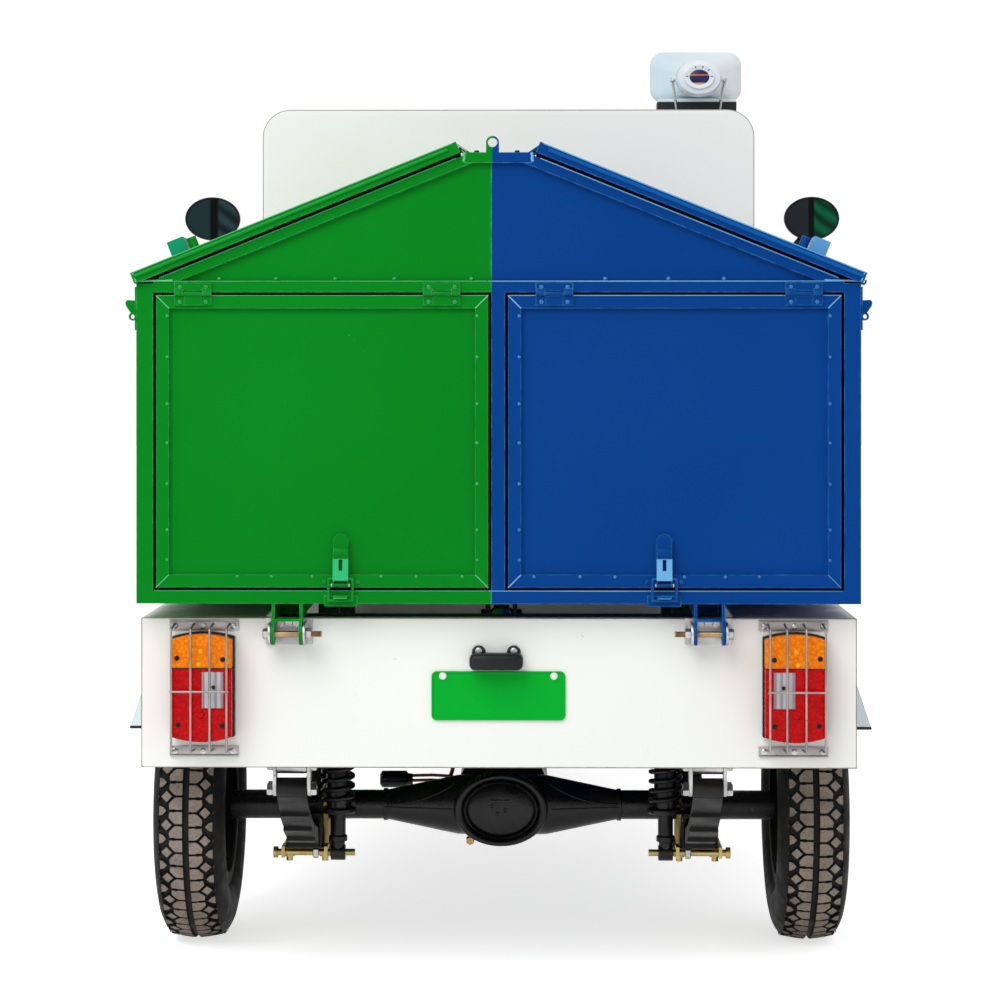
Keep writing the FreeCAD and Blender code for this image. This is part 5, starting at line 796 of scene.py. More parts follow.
plate_green, tree, shader = new_finish("plate_green", 0.0, 0.05)
coloured(tree, shader, mixed(tree, cloud(tree, 8.0, 5.0), (0.0008, 0.365, 0.022), (0.001, 0.415, 0.032)))
gloss(tree, shader, cloud(tree, 40.0), 0.34, 0.46)
raised(tree, shader, [(cloud(tree, 12.0), 0.0006), (cloud(tree, 600.0), 0.00005)])
white_cap = enamel("white_cap", (0.80, 0.81, 0.78), (0.72, 0.72, 0.70), 0.4, 0.4, 40.0, 0.0,
                   (0.4, 0.4, 0.4))
cap = turned("plate_cap", [(0.0, 0.0062), (0.0015, 0.0062), (0.0032, 0.0048), (0.0040, 0.0)], steps=16)
caps = [moved(x, -1.3928, 0.5255) for x in (-0.0905, 0.0905)]
complete(copies("plate_screws", cap, caps), "chassis", white_cap)


def rounded_outline(half_width, half_height, corner, steps=6):
    """A rectangle with round corners, as points round it."""
    points = []
    for across, up, start in ((1, 1, 0), (-1, 1, 90), (-1, -1, 180), (1, -1, 270)):
        for step in range(steps + 1):
            angle = math.radians(start + 90 * step / steps)
            points.append((across * (half_width - corner) + corner * math.cos(angle),
                           up * (half_height - corner) + corner * math.sin(angle)))
    return points


PLATE_Z = 0.49325
PLATE_RINGS = ((0.0, -1.3900), (0.0, -1.3936), (0.0008, -1.3945), (0.0022, -1.3945), (0.0040, -1.3930))
rings = []
for inset, y in PLATE_RINGS:
    for x, z in rounded_outline(0.1090 - inset, 0.03975 - inset, 0.0085 - inset * 0.8):
        rings.append((x, y, z + PLATE_Z))
count = len(rings) // len(PLATE_RINGS)
faces = [list(range(count)), list(range(len(rings) - count, len(rings)))]
for level in range(len(PLATE_RINGS) - 1):
    this = level * count
    outer = this + count
    for step in range(count):
        after = (step + 1) % count
        faces.append([this + step, this + after, outer + after, outer + step])
plate = laid_down("pressed_plate", rings, [], faces)
bpy.ops.object.mode_set(mode="EDIT")
bpy.ops.mesh.select_all(action="SELECT")
bpy.ops.mesh.normals_make_consistent(inside=False)
bpy.ops.object.mode_set(mode="OBJECT")
complete(plate, "chassis", plate_green, angle=20)
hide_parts("number_plate")
hood = pressed_block("plate_lamp_hood", (-0.0469, -1.4260, 0.5375), (0.0402, -1.3902, 0.5645), 0.0095, 5)
complete(hood, "chassis", black_plastic)
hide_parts("plate_lamp")
bezel = pressed_block("plate_lamp_bezel", (-0.0420, -1.4285, 0.5415), (0.0355, -1.4240, 0.5585), 0.0022)
complete(bezel, "chassis", black_plastic)
ear = turned("plate_lamp_ear", [(-0.0002, 0.0), (-0.0002, 0.0114), (0.0120, 0.0112), (0.0150, 0.0095),
                                (0.0155, 0.0)], steps=32)
EARS = [(-0.0320, -1.3904, 0.5640), (0.0250, -1.3904, 0.5640)]
complete(copies("plate_lamp_ears", ear, [moved(*place) for place in EARS]), "chassis", black_plastic)
complete(copies("plate_lamp_screws", cross_head("plate_lamp_screw", 0.0056, 0.0025),
                [moved(x, -1.4058, z + 0.0035) for x, y, z in EARS]), "chassis", zinc)


# Tip hinge
# Zinc-plated ears bolted on the tail panel take the bin's own ears on yellow-plated bolts.
# Each bolt has a hex head outside and a nut and free thread inside.


bolt_steel = plated("bolt_steel", (0.42, 0.28, 0.15), (0.20, 0.13, 0.08), 0.40, 0.05)
dress(zinc, "tip_brackets")
soften(0.0010, "tip_brackets")
HINGE_Y = -1.428
HINGE_Z = 0.597
BOLT_HEAD_X = 0.3712
BOLT_HEAD = [(0.0, 0.0), (0.0, 0.0088), (0.0004, 0.0092), (0.0076, 0.0092), (0.0092, 0.0076), (0.0092, 0.0)]
THREADS = 14
THREAD_PITCH = 0.0015
BOLT_SHAFT = [(0.0005, 0.0), (0.0005, 0.0050), (-0.0620, 0.0050)]
for thread in range(THREADS):
    BOLT_SHAFT += [(-0.0640 - THREAD_PITCH * thread, 0.0042), (-0.06475 - THREAD_PITCH * thread, 0.0050)]
BOLT_SHAFT += [(-0.0862, 0.0042), (-0.0862, 0.0)]
for side, word in SIDES:
    bolt_end = (side * BOLT_HEAD_X, HINGE_Y, HINGE_Z)
    shaft = turned("tip_bolt_shaft_" + word, BOLT_SHAFT, bolt_end, (side, 0, 0), steps=16)
    complete(shaft, "chassis", bolt_steel)
    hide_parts("tip_bolts")
    head = turned("tip_bolt_head_" + word, BOLT_HEAD, bolt_end, (side, 0, 0), steps=6)
    complete(head, "chassis", zinc)
    tail = turned("tip_nut_" + word, [(a * 0.9, r * 0.86) for a, r in NUT],
                  (side * 0.3108, HINGE_Y, HINGE_Z), (-side, 0, 0), steps=6)
    complete(tail, "chassis", zinc)
    stud = turned("bracket_bolt", [(0.0, 0.0075), (0.0045, 0.0075), (0.0055, 0.0062), (0.0055, 0.0)],
                  steps=6)
    places = [moved(side * x, -1.396, 0.6125) for x in (0.3285, 0.3545)]
    complete(copies("bracket_bolts_" + word, stud, places), "chassis", zinc)


# Bin
# A box of folded sheet on a welded tube frame, sprayed green on its left half and blue on its
# right; the two colours meet on the gable, the ridge and the lifting lug. Rivets hold the sheets.


BIN_GREEN = (0.0005, 0.215, 0.0130)
BIN_BLUE = (0.0005, 0.0475, 0.250)
# Lighter green and blue laid on sharp edges: a painted highlight.
EDGE_HIGHLIGHT_GREEN = (0.080, 0.520, 0.170)
EDGE_HIGHLIGHT_BLUE = (0.070, 0.340, 0.640)
DEEP_GREEN = (0.0005, 0.190, 0.0095)
DEEP_BLUE = (0.0005, 0.0430, 0.215)
SEAM_X = -0.017
RIDGE_SEAM_X = -0.009


def split_place(tree):
    """The place on the piece as its X, Y and Z."""
    split = tree.nodes.new("ShaderNodeSeparateXYZ")
    tree.links.new(on_piece(tree), split.inputs["Vector"])
    return split.outputs


def seam_share(tree, seam_x):
    """0 on the green side of the seam and 1 on the blue side, a little uneven, as masked by hand."""
    wander = tree.nodes.new("ShaderNodeMath")
    wander.operation = "ADD"
    tree.links.new(split_place(tree)["X"], wander.inputs[0])
    tree.links.new(band(tree, cloud(tree, 14.0), 0.3, 0.7, -0.0015, 0.0015), wander.inputs[1])
    return band(tree, wander.outputs["Value"], seam_x - 0.0012, seam_x + 0.0012, 0.0, 1.0)


def two_colour(name, seam_x, lit_leaf=False):
    """Green enamel left of the seam and blue right of it, with a painted highlight on sharp edges; the
    ridge's left hinge leaf gets a pale painted highlight.
    """
    material, tree, shader = new_finish(name, 0.0, 0.05)
    slow = band(tree, cloud(tree, 2.2, 4.0), 0.30, 0.70, 0.0, 1.0)
    green_tone = mixed(tree, slow, BIN_GREEN, DEEP_GREEN)
    blue_tone = mixed(tree, slow, BIN_BLUE, DEEP_BLUE)
    share = seam_share(tree, seam_x)
    # Painted highlight on sharp edges, in patches.
    edge_highlight = edge_wear_and_highlight(tree, 0.9)
    green_tone = mixed(tree, edge_highlight, green_tone, EDGE_HIGHLIGHT_GREEN)
    blue_tone = mixed(tree, edge_highlight, blue_tone, EDGE_HIGHLIGHT_BLUE)
    tone = mixed(tree, share, green_tone, blue_tone)
    # Painted highlight: the ridge's left hinge leaf is painted pale, as lit.
    if lit_leaf:
        place = split_place(tree)
        outside = band(tree, place["X"], -0.0545, -0.0535, 1.0, 0.0)
        above = band(tree, place["Z"], 1.3765, 1.3775, 0.0, 1.0)
        tone = mixed(tree, product(tree, outside, above), tone, (0.40, 0.52, 0.42))
    coloured(tree, shader, tone)
    gloss(tree, shader, cloud(tree, 18.0, 5.0), 0.28, 0.42)
    raised(tree, shader, [(cloud(tree, 700.0, 2.0), 0.00006), (cloud(tree, 6.0, 2.0), 0.0016)])
    return material


green = enamel("bin_green", BIN_GREEN, DEEP_GREEN, 0.34, 0.05, 6.0, 0.0, (0.10, 0.33, 0.12),
               EDGE_HIGHLIGHT_GREEN, 0.9)
blue = enamel("bin_blue", BIN_BLUE, DEEP_BLUE, 0.34, 0.05, 6.0, 0.0, (0.08, 0.16, 0.36), EDGE_HIGHLIGHT_BLUE, 0.9)
split_gable = two_colour("gable_green_and_blue", SEAM_X)
split_ridge = two_colour("ridge_green_and_blue", RIDGE_SEAM_X, lit_leaf=True)
primer = old_paint("grey_primer", (0.16, 0.165, 0.17), (0.09, 0.085, 0.08), 0.55, 0.25, 0.02)
dress(green, "bin_left", "bin_rear_frame_left")
dress(blue, "bin_right")
dress(split_gable, "bin_rear_frame_right")
dress(split_ridge, "bin_ridge")
dress(primer, "bin_divider")
soften(0.0018, "bin_left", "bin_right", "bin_rear_frame_left", "bin_rear_frame_right")
soften(0.0012, "bin_ridge")


def rivet(name, radius, height):
    """A domed rivet head facing the rear."""
    return turned(name, [(0.0, radius), (height * 0.5, radius * 0.92), (height * 0.85, radius * 0.6),
                         (height, 0.0)], steps=12)


REAR_FACE = -1.430
GABLE_FACE = -1.421
GABLE_TOP_Z = 1.3674
GABLE_FALL = 0.4018
EAVES_Z = 1.1668
FOOT_Z = 0.6668
# Roughness, shine and share of specks, then the tone, its shade and its specks in green and in blue.
# All three trims are lighter than the sheet: painted highlights on rivet and screw heads, edge lines and
# weld beads.
TRIM = {
    "rivet": (0.24, 0.4, 0.0, ((0.003, 0.26, 0.03), (0.02, 0.36, 0.08), (0.3, 0.5, 0.3)),
              ((0.004, 0.085, 0.34), (0.03, 0.20, 0.48), (0.3, 0.4, 0.6))),
    "highlight_line": (0.26, 0.2, 0.0, ((0.008, 0.28, 0.05), (0.06, 0.46, 0.17), (0.5, 0.6, 0.5)),
               ((0.02, 0.18, 0.46), (0.16, 0.44, 0.70), (0.5, 0.6, 0.7))),
    "weld": (0.24, 0.3, 0.05, ((0.02, 0.34, 0.08), (0.16, 0.58, 0.28), (0.55, 0.66, 0.55)),
             ((0.03, 0.18, 0.46), (0.24, 0.50, 0.72), (0.55, 0.60, 0.68)))}
TRIM_RIPPLE = 60.0
green_paints = {"sheet": green}
blue_paints = {"sheet": blue}
for kind, (rough, shine, speck, *both) in TRIM.items():
    for paints, colour, (tone, deep, spot) in zip((green_paints, blue_paints), ("green", "blue"), both):
        paints[kind] = enamel("{}_{}".format(kind, colour), tone, deep, rough, shine, TRIM_RIPPLE,
                              speck, spot)
HALVES = ((-1, "left", "green_paint", green_paints), (1, "right", "blue_paint", blue_paints))
EAVES_RIVETS = {"left": (-0.4516, -0.3598, -0.2639, -0.1680, -0.0435), "right": (0.1730, 0.2750, 0.3650)}
RIDGE_WELDS = ((0.0545, 1.3725), (0.0552, 1.3690), (0.0548, 1.3655), (0.0556, 1.3620))
EAVES_WELD = ((0.5260, 0.0002, 1.1685), (0.5420, 0.0004, 1.1675), (0.5600, 0.0002, 1.1680),
              (0.5800, 0.0002, 1.1672))
WELD_BLOB = [(0.0, 0.0025), (0.0008, 0.0024), (0.0016, 0.0015), (0.0019, 0.0)]
for side, word, slot, paint in HALVES:
    # Rivets, ridge welds and the eaves weld in the lighter trim paints: painted highlights.
    domes = [moved(x, GABLE_FACE, 1.1705) for x in EAVES_RIVETS[word]]
    dome = rivet("eaves_rivet", 0.0040, 0.0038)
    complete(copies("eaves_rivets_" + word, dome, domes), "bin", paint["rivet"])
    blob = turned("weld_blob", WELD_BLOB, steps=10)
    spots = [moved(side * x, REAR_FACE + 0.0006, z) for x, z in RIDGE_WELDS]
    complete(copies("ridge_welds_" + word, blob, spots), "bin", paint["weld"])
    bead = [(side * x, REAR_FACE - out, z) for x, out, z in EAVES_WELD]
    complete(round_bar("eaves_weld_" + word, bead, 0.0017, smooth=True), "bin", paint["weld"])
    across = (side * 0.5560, side * 0.3000, SEAM_X + side * 0.0010)
    # Painted highlight lines along the eaves rail and along the bin's foot.
    for place, height in (("rail", EAVES_Z), ("foot", FOOT_Z)):
        line = [(x, REAR_FACE - 0.0002, height) for x in across]
        complete(round_bar("{}_edge_{}".format(place, word), line, 0.0009), "bin", paint["highlight_line"])
    # A painted highlight line along the gable bar's upper edge.
    highlight_line = []
    for x in (0.068, 0.190, 0.310, 0.430, 0.548):
        highlight_line.append((side * x, REAR_FACE - 0.0003, GABLE_TOP_Z - GABLE_FALL * (x - 0.0627)))
    complete(round_bar("gable_edge_" + word, highlight_line, 0.0011), "bin", paint["highlight_line"])
stop = turned("ridge_stop", [(-0.0010, 0.0042), (0.0016, 0.0042), (0.0030, 0.0034), (0.0036, 0.0)],
              (0, 0, 0), (0, 0, 1), (1, 0, 0), steps=16)
stops = [moved(x, y, 1.3752) for x in (-0.0347, 0.0307) for y in (-1.424, 0.064)]
complete(copies("ridge_stops", stop, stops), "bin", chassis_black)
HOOK = ((0.5850, 1.1640), (0.5885, 1.1622), (0.5920, 1.1628), (0.5938, 1.1655), (0.5934, 1.1690))
hook = [(x, -1.4200, z) for x, z in HOOK]
complete(round_bar("lid_hook", hook, 0.0016, smooth=True), "bin", chassis_black)


# Bin doors
# Mitred tube frames with recessed sheets, riveted inside the frame and hung from the eaves rail.
# The mitres are welded with a bead in a lighter paint, a painted highlight; screws hold the hinge leaves.


def inside(tree, *limits):
    """1 within the limits, each an axis with its low and high end, and 0 outside them."""
    place = split_place(tree)
    whole = None
    for axis, low, high in limits:
        value = place[axis]
        share = product(tree, band(tree, value, low - 0.0002, low + 0.0002, 0.0, 1.0),
                        band(tree, value, high - 0.0002, high + 0.0002, 1.0, 0.0))
        whole = share if whole is None else product(tree, whole, share)
    return whole


def over_paint(material, share, colour):
    """Another colour over a finished paint, where the share is 1."""
    tree = material.node_tree
    base = tree.nodes["Principled BSDF"].inputs["Base Color"]
    tree.links.new(mixed(tree, share, base.links[0].from_socket, colour), base)


LATCH_X = {"left": -0.254, "right": 0.268}
LEVER_HALF = 0.0128
LEVER_Y = (-1.5, -1.4335)
LEVER_Z = (0.6845, 0.7190)
for word, tone, deep, edge, lever_sheen in (("left", BIN_GREEN, DEEP_GREEN, EDGE_HIGHLIGHT_GREEN, (0.030, 0.460, 0.170)),
                                      ("right", BIN_BLUE, DEEP_BLUE, EDGE_HIGHLIGHT_BLUE, (0.130, 0.390, 0.700))):
    # Painted highlight on the edges at half share, and a painted sheen on the latch lever in a lighter
    # tone.
    door_paint = enamel("door_paint_" + word, tone, deep, 0.34, 0.05, 6.0, 0.0,
                        (0.10, 0.30, 0.30), edge, 0.5)
    lever_x = (LATCH_X[word] - LEVER_HALF, LATCH_X[word] + LEVER_HALF)
    share = inside(door_paint.node_tree, ("X", *lever_x), ("Y", *LEVER_Y), ("Z", *LEVER_Z))
    over_paint(door_paint, share, lever_sheen)
    dress(door_paint, "door_" + word)
soften(0.0016, "door_left", "door_right")
DOOR_X = (0.016, 0.553)
DOOR_Z = (0.672, 1.144)
DOOR_TUBE = 0.021
SIDE_RIVETS = (1.1107, 1.0445, 0.9687, 0.9057, 0.8395, 0.7653, 0.7168)
FOOT_RIVETS = (0.4213, 0.3664, 0.3002, 0.1888, 0.1323, 0.0580)
HINGE_X = (0.091, 0.493)
HINGE_SCREWS = (-0.021, 0.021)
MITRE_STEPS = 7
PIN_END = [(0.0, 0.0), (0.0, 0.0034), (0.0012, 0.0034), (0.0022, 0.0024), (0.0024, 0.0)]
for side, word, slot, paint in HALVES:
    body = "door_" + word
    inner_x = (DOOR_X[0] + DOOR_TUBE - 0.003, DOOR_X[1] - DOOR_TUBE + 0.003)
    # Rivets, hinge screws and mitre welds in the lighter trim paints: painted highlights.
    places = [moved(side * x, REAR_FACE, z) for x in inner_x for z in SIDE_RIVETS]
    places += [moved(side * x, REAR_FACE, DOOR_Z[0] + DOOR_TUBE - 0.003) for x in FOOT_RIVETS]
    complete(copies("door_rivets_" + word, rivet("door_rivet", 0.0028, 0.0022), places), body,
             paint["rivet"])
    # A painted highlight line along the door's upper edge.
    head = [(side * 0.0175, REAR_FACE - 0.0002, 1.1437), (side * 0.5515, REAR_FACE - 0.0002, 1.1437)]
    complete(round_bar("door_edge_" + word, head, 0.0008), body, paint["highlight_line"])
    for leaf, leaf_body, height in (("door", body, 1.1335), ("rail", "bin", 1.1575)):
        screws = [moved(side * (x + u), REAR_FACE - 0.003, height) for x in HINGE_X for u in HINGE_SCREWS]
        screw = cross_head("hinge_screw", 0.0034, 0.0020)
        complete(copies("{}_hinge_screws_{}".format(leaf, word), screw, screws), leaf_body,
                 paint["rivet"])
    for x_word, x_end, x_way in (("inner", DOOR_X[0], 1), ("outer", DOOR_X[1], -1)):
        for z_word, z_end, z_way in (("low", DOOR_Z[0], 1), ("high", DOOR_Z[1], -1)):
            line = []
            for step in range(MITRE_STEPS + 1):
                reach = DOOR_TUBE * step / MITRE_STEPS
                line.append((side * (x_end + x_way * reach), REAR_FACE - 0.0001, z_end + z_way * reach))
            bead = round_bar("mitre_weld_{}_{}_{}".format(word, x_word, z_word), line, 0.0011)
            complete(bead, body, paint["weld"])
    x = LATCH_X[word]
    for way, way_word in SIDES:
        end = turned("latch_pin_{}_{}".format(word, way_word), PIN_END,
                     (x + way * 0.0135, REAR_FACE - 0.0125, 0.6770), (way, 0, 0), steps=12)
        complete(end, body, zinc)
    fixings = [moved(x + way * 0.0270, REAR_FACE, 0.6815) for way in (-1, 1)]
    screw = cross_head("latch_screw", 0.0036, 0.0018)
    complete(copies("latch_screws_" + word, screw, fixings), body, paint["sheet"])


# Lids
# Framed sheet lids over each slope of the roof, hinged along the ridge on three leaf hinges.
# Their corners are welded and left rough, and a rubber buffer stands beside each handle.


soften(0.0018, "lid_left", "lid_right")


def lid_paint(name, side, tone, deep, edge, handle):
    """The lid's enamel, with a painted highlight on its edges and the handles above its face painted a
    lighter tone, as a painted sky reflection.
    """
    material = enamel(name, tone, deep, 0.34, 0.05, 6.0, 0.0, (0.10, 0.30, 0.30), edge, 0.9)
    tree = material.node_tree
    shares = []
    above_face = ((side * 0.3732, 0.0, 0.9278), 1.3172, 1.3178, 0.0, 1.0)
    before_ridge = ((-side * 0.9278, 0.0, 0.3732), -0.0125, -0.0115, 1.0, 0.0)
    for direction, low, high, to_low, to_high in (above_face, before_ridge):
        dot = tree.nodes.new("ShaderNodeVectorMath")
        dot.operation = "DOT_PRODUCT"
        dot.inputs[1].default_value = direction
        tree.links.new(on_piece(tree), dot.inputs[0])
        shares.append(band(tree, dot.outputs["Value"], low, high, to_low, to_high))
    over_paint(material, product(tree, *shares), handle)
    return material


# The last colour is the handles' painted sky reflection.
dress(lid_paint("lid_green", -1, BIN_GREEN, DEEP_GREEN, EDGE_HIGHLIGHT_GREEN, (0.005, 0.300, 0.150)), "lid_left")
dress(lid_paint("lid_blue", 1, BIN_BLUE, DEEP_BLUE, EDGE_HIGHLIGHT_BLUE, (0.110, 0.330, 0.640)), "lid_right")
LID_REAR = -1.4400
SWAGE_DROP = 0.0068
# Lighter than the lid paint: a painted highlight band along the swage bead.
swage_highlight_green = enamel("swage_highlight_green", (0.001, 0.270, 0.022), (0.001, 0.235, 0.016), 0.30, 0.08, 6.0, 0.0,
                     (0.1, 0.3, 0.1))
swage_highlight_blue = enamel("swage_highlight_blue", (0.001, 0.105, 0.370), (0.001, 0.080, 0.320), 0.30, 0.08, 6.0, 0.0,
                    (0.1, 0.2, 0.4))
swage_highlight_paint = {"left": swage_highlight_green, "right": swage_highlight_blue}
LID_OUTER = Vector((0.594, 0.0, 1.180))
LID_INNER = Vector((0.068, 0.0, 1.3916))
slope = (LID_INNER - LID_OUTER).normalized()
drop = Vector((slope.z, 0.0, -slope.x)) * -1
corner = LID_OUTER + slope * 0.004
for side, word, slot, paint in HALVES:
    body = "lid_" + word
    # The corner welds in the lighter weld paint: a painted highlight.
    for y, place in ((-1.4402, "rear"), (0.0802, "front")):
        bead = []
        for share in (0.05, 0.35, 0.65, 0.95):
            point = corner + drop * 0.018 * share
            bead.append((side * point.x, y, point.z))
        bead = round_bar("lid_corner_weld_{}_{}".format(word, place), bead, 0.0014, smooth=True)
        complete(bead, body, paint["weld"])
    # A painted highlight line along the lid's upper rear edge, with the swage bead's painted highlight band
    # under it.
    highlight_line = []
    for share in (0.01, 0.25, 0.50, 0.75, 0.99):
        point = LID_OUTER.lerp(LID_INNER, share) + drop * 0.0012
        highlight_line.append((side * point.x, LID_REAR, point.z))
    complete(round_bar("lid_edge_" + word, highlight_line, 0.0010), body, paint["highlight_line"])
    swage = [(x, y, z - SWAGE_DROP) for x, y, z in highlight_line[:-1]]
    swage.append((highlight_line[-1][0] + side * 0.0080, LID_REAR, highlight_line[-1][2] - SWAGE_DROP - 0.0032))
    complete(round_bar("lid_swage_" + word, swage, 0.0036), body, swage_highlight_paint[word])


# Tipping cylinder
# One hydraulic cylinder under the bin, pinned to the chassis and to the bin's bracket.
# Its barrel is painted black, and its rod is ground steel with hard chrome.


chrome, tree, shader = new_finish("ground_rod", 1.0, 0.5)
coloured(tree, shader, mixed(tree, cloud(tree, 30.0), (0.60, 0.60, 0.60), (0.48, 0.47, 0.46)))
gloss(tree, shader, cloud(tree, 200.0, 3.0, (1.0, 0.1, 1.0)), 0.12, 0.26)
dress(chassis_black, "cylinder_barrel")
dress(chrome, "cylinder_rod")
soften(0.0010, "cylinder_barrel", "cylinder_rod")


# Cab
# White sheet steel on a frame of its own: floor, rear wall, roof with turned-down sides, pillars
# and a bowed nose, open at both sides.


dress(white, "cab_floor", "cab_rear_wall", "cab_roof", "cab_nose", "cab_pillars", "front_mudguard")
soften(0.0030, "cab_rear_wall", "cab_roof", "cab_pillars", "cab_floor")
soften(0.0012, "front_mudguard")
seam_grey = old_paint("seam_grey", (0.42, 0.42, 0.39), (0.30, 0.29, 0.27), 0.5, 0.2, 0.0)
ARCH_Y = 0.1508
ARCH_R = 0.0592
ARCH_STEPS = 9
arch = [(0.5362, ARCH_Y, 0.4200), (0.5362, ARCH_Y, 1.5300)]
for step in range(1, ARCH_STEPS):
    angle = math.radians(90 * step / ARCH_STEPS)
    arch.append((0.4770 + ARCH_R * math.cos(angle), ARCH_Y, 1.5300 + ARCH_R * math.sin(angle)))
arch.append((0.4770, ARCH_Y, 1.5892))
arch += [(-x, y, z) for x, y, z in reversed(arch)]
complete(round_bar("cab_edge", arch, 0.0011), "chassis", seam_grey)
glass, tree, shader = new_finish("windscreen_glass", 0.0, 0.5)
shader.inputs["Transmission Weight"].default_value = 1.0
shader.inputs["IOR"].default_value = 1.45
coloured(tree, shader, mixed(tree, cloud(tree, 3.0), (0.86, 0.92, 0.90), (0.80, 0.88, 0.86)))
tree.links.new(band(tree, cloud(tree, 20.0), 0.4, 0.8, 0.0, 0.06), shader.inputs["Roughness"])
dress(glass, "windscreen")
SCREEN_FOOT = (1.045, 0.950)
SCREEN_TOP = (0.930, 1.500)
SCREEN_SLOPE = (SCREEN_TOP[0] - SCREEN_FOOT[0]) / (SCREEN_TOP[1] - SCREEN_FOOT[1])


def on_screen(x, z, out=0.0):
    """A point on the windscreen's outer face."""
    return (x, SCREEN_FOOT[0] + SCREEN_SLOPE * (z - SCREEN_FOOT[1]) + 0.003 + out, z)


rubber = old_paint("screen_rubber", (0.010, 0.010, 0.010), (0.030, 0.028, 0.026), 0.6, 0.2, -0.2)
SEAL = ((-0.496, 0.957), (0.496, 0.957), (0.496, 1.250), (0.496, 1.520), (0.480, 1.555), (0.440, 1.576),
        (-0.440, 1.576), (-0.480, 1.555), (-0.496, 1.520), (-0.496, 1.250))
seal = [on_screen(x, z) for x, z in SEAL]
complete(round_bar("screen_seal", seal, 0.0055, closed=True), "chassis", rubber)
WIPER_ARM = ((0.0, 0.972, 0.014), (-0.060, 1.060, 0.012), (-0.150, 1.200, 0.009))
WIPER_BLADE = ((-0.095, 1.010, 0.0045), (-0.150, 1.200, 0.0060), (-0.205, 1.390, 0.0045))
arm = [(0.0, 1.060, 0.9505)] + [on_screen(*point) for point in WIPER_ARM]
complete(round_bar("wiper_arm", arm, 0.0035, smooth=True), "chassis", chassis_black)
blade = [on_screen(*point) for point in WIPER_BLADE]
complete(round_bar("wiper_blade", blade, 0.0042), "chassis", rubber)
pivot = turned("wiper_pivot", [(-0.002, 0.0), (-0.002, 0.014), (0.008, 0.013), (0.014, 0.009),
                               (0.015, 0.0)], (0.0, 1.060, 0.9500), (0, 0, 1), (1, 0, 0), steps=24)
complete(pivot, "chassis", chassis_black)
dress(chassis_black, "battery_pack")


# Bench seat
# A vinyl cushion and backrest over foam, each sewn from panels with piping round its face and two
# stitched channels across it.


CLOTH_FRAMES = 20


def stuffed(name, low, high, node, slack):
    """A pad blown up from a slightly smaller block, held near its place by the slack."""
    low, high = Vector(low), Vector(high)
    pad = pressed_block(name, low, high, 0.018, 4)
    remesh = pad.modifiers.new("even mesh", "REMESH")
    remesh.mode = "VOXEL"
    remesh.voxel_size = 0.006
    apply_modifier(pad, remesh)
    rest = [vertex.co.copy() for vertex in pad.data.vertices]
    cloth = pad.modifiers.new("cover", "CLOTH")
    cloth.settings.quality = 4
    cloth.settings.use_pressure = True
    cloth.settings.uniform_pressure_force = 4.0
    cloth.settings.effector_weights.gravity = 0.0
    cloth.point_cache.frame_start = 1
    cloth.point_cache.frame_end = CLOTH_FRAMES
    for step in range(1, CLOTH_FRAMES + 1):
        bpy.context.scene.frame_set(step)
    apply_modifier(pad, cloth)
    for vertex, start in zip(pad.data.vertices, rest):
        swell = vertex.co - start
        if swell.length > slack:
            vertex.co = start + swell.normalized() * slack
    bpy.context.scene.frame_set(1)
    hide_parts(node)
    return pad


CHANNELS = (-0.100, 0.100)
CHANNEL_WIDTH = 0.007


def band_share(value, start, end):
    """How far a value has come from start to end, from 0 to 1."""
    return max(0.0, min(1.0, (value - start) / (end - start)))


def sewn(pad, channels, axis, limits, deep):
    """Stitched channels pressed across the pad's face, then one subdivision."""
    for vertex in pad.data.vertices:
        face_share = band_share(vertex.co[axis], *limits)
        for x in channels:
            press = math.exp(-((vertex.co.x - x) / CHANNEL_WIDTH) ** 2)
            vertex.co[axis] -= math.copysign(deep, limits[1] - limits[0]) * face_share * press
    round_off = pad.modifiers.new("smooth cover", "SUBSURF")
    round_off.levels = 1
    round_off.render_levels = 1
    apply_modifier(pad, round_off)


def piping(name, pad, path):
    """A sewn cord laid on the pad along a closed path."""
    line = []
    for point in path:
        place, normal = pad.closest_point_on_mesh(Vector(point))[1:3]
        line.append(tuple(place + normal * 0.001))
    complete(round_bar(name, line, 0.0032, closed=True, smooth=True), "chassis", vinyl,
             angle=60)


vinyl, tree, shader = new_finish("seat_vinyl", 0.0, 0.35)
worn = band(tree, cloud(tree, 7.0, 5.0), 0.40, 0.70, 0.0, 1.0)
coloured(tree, shader, mixed(tree, worn, (0.018, 0.018, 0.020), (0.038, 0.037, 0.036)))
gloss(tree, shader, cloud(tree, 40.0), 0.38, 0.55)
raised(tree, shader, [(grains(tree, 420.0), 0.0005), (cloud(tree, 22.0), 0.0012)])
cushion = stuffed("bench_cushion", (-0.284, 0.251, 0.5815), (0.284, 0.554, 0.652), "seat_cushion", 0.009)
for vertex in cushion.data.vertices:
    vertex.co.z = max(vertex.co.z, 0.5804)
sewn(cushion, CHANNELS, 2, (0.630, 0.650), 0.006)
CUSHION_RIM = ((-0.262, 0.262), (0.0, 0.258), (0.262, 0.262), (0.279, 0.300), (0.281, 0.400),
               (0.279, 0.520), (0.262, 0.545), (0.0, 0.549), (-0.262, 0.545), (-0.279, 0.520),
               (-0.281, 0.400), (-0.279, 0.300))
rim = [(x, y, 0.648) for x, y in CUSHION_RIM]
piping("cushion_piping", cushion, rim)
complete(cushion, "chassis", vinyl, angle=80)
backrest = stuffed("bench_backrest", (-0.284, 0.1775, 0.626), (0.284, 0.2280, 1.044), "seat_back", 0.008)
for vertex in backrest.data.vertices:
    vertex.co.y = max(vertex.co.y, 0.1754)
sewn(backrest, CHANNELS, 1, (0.212, 0.228), 0.006)
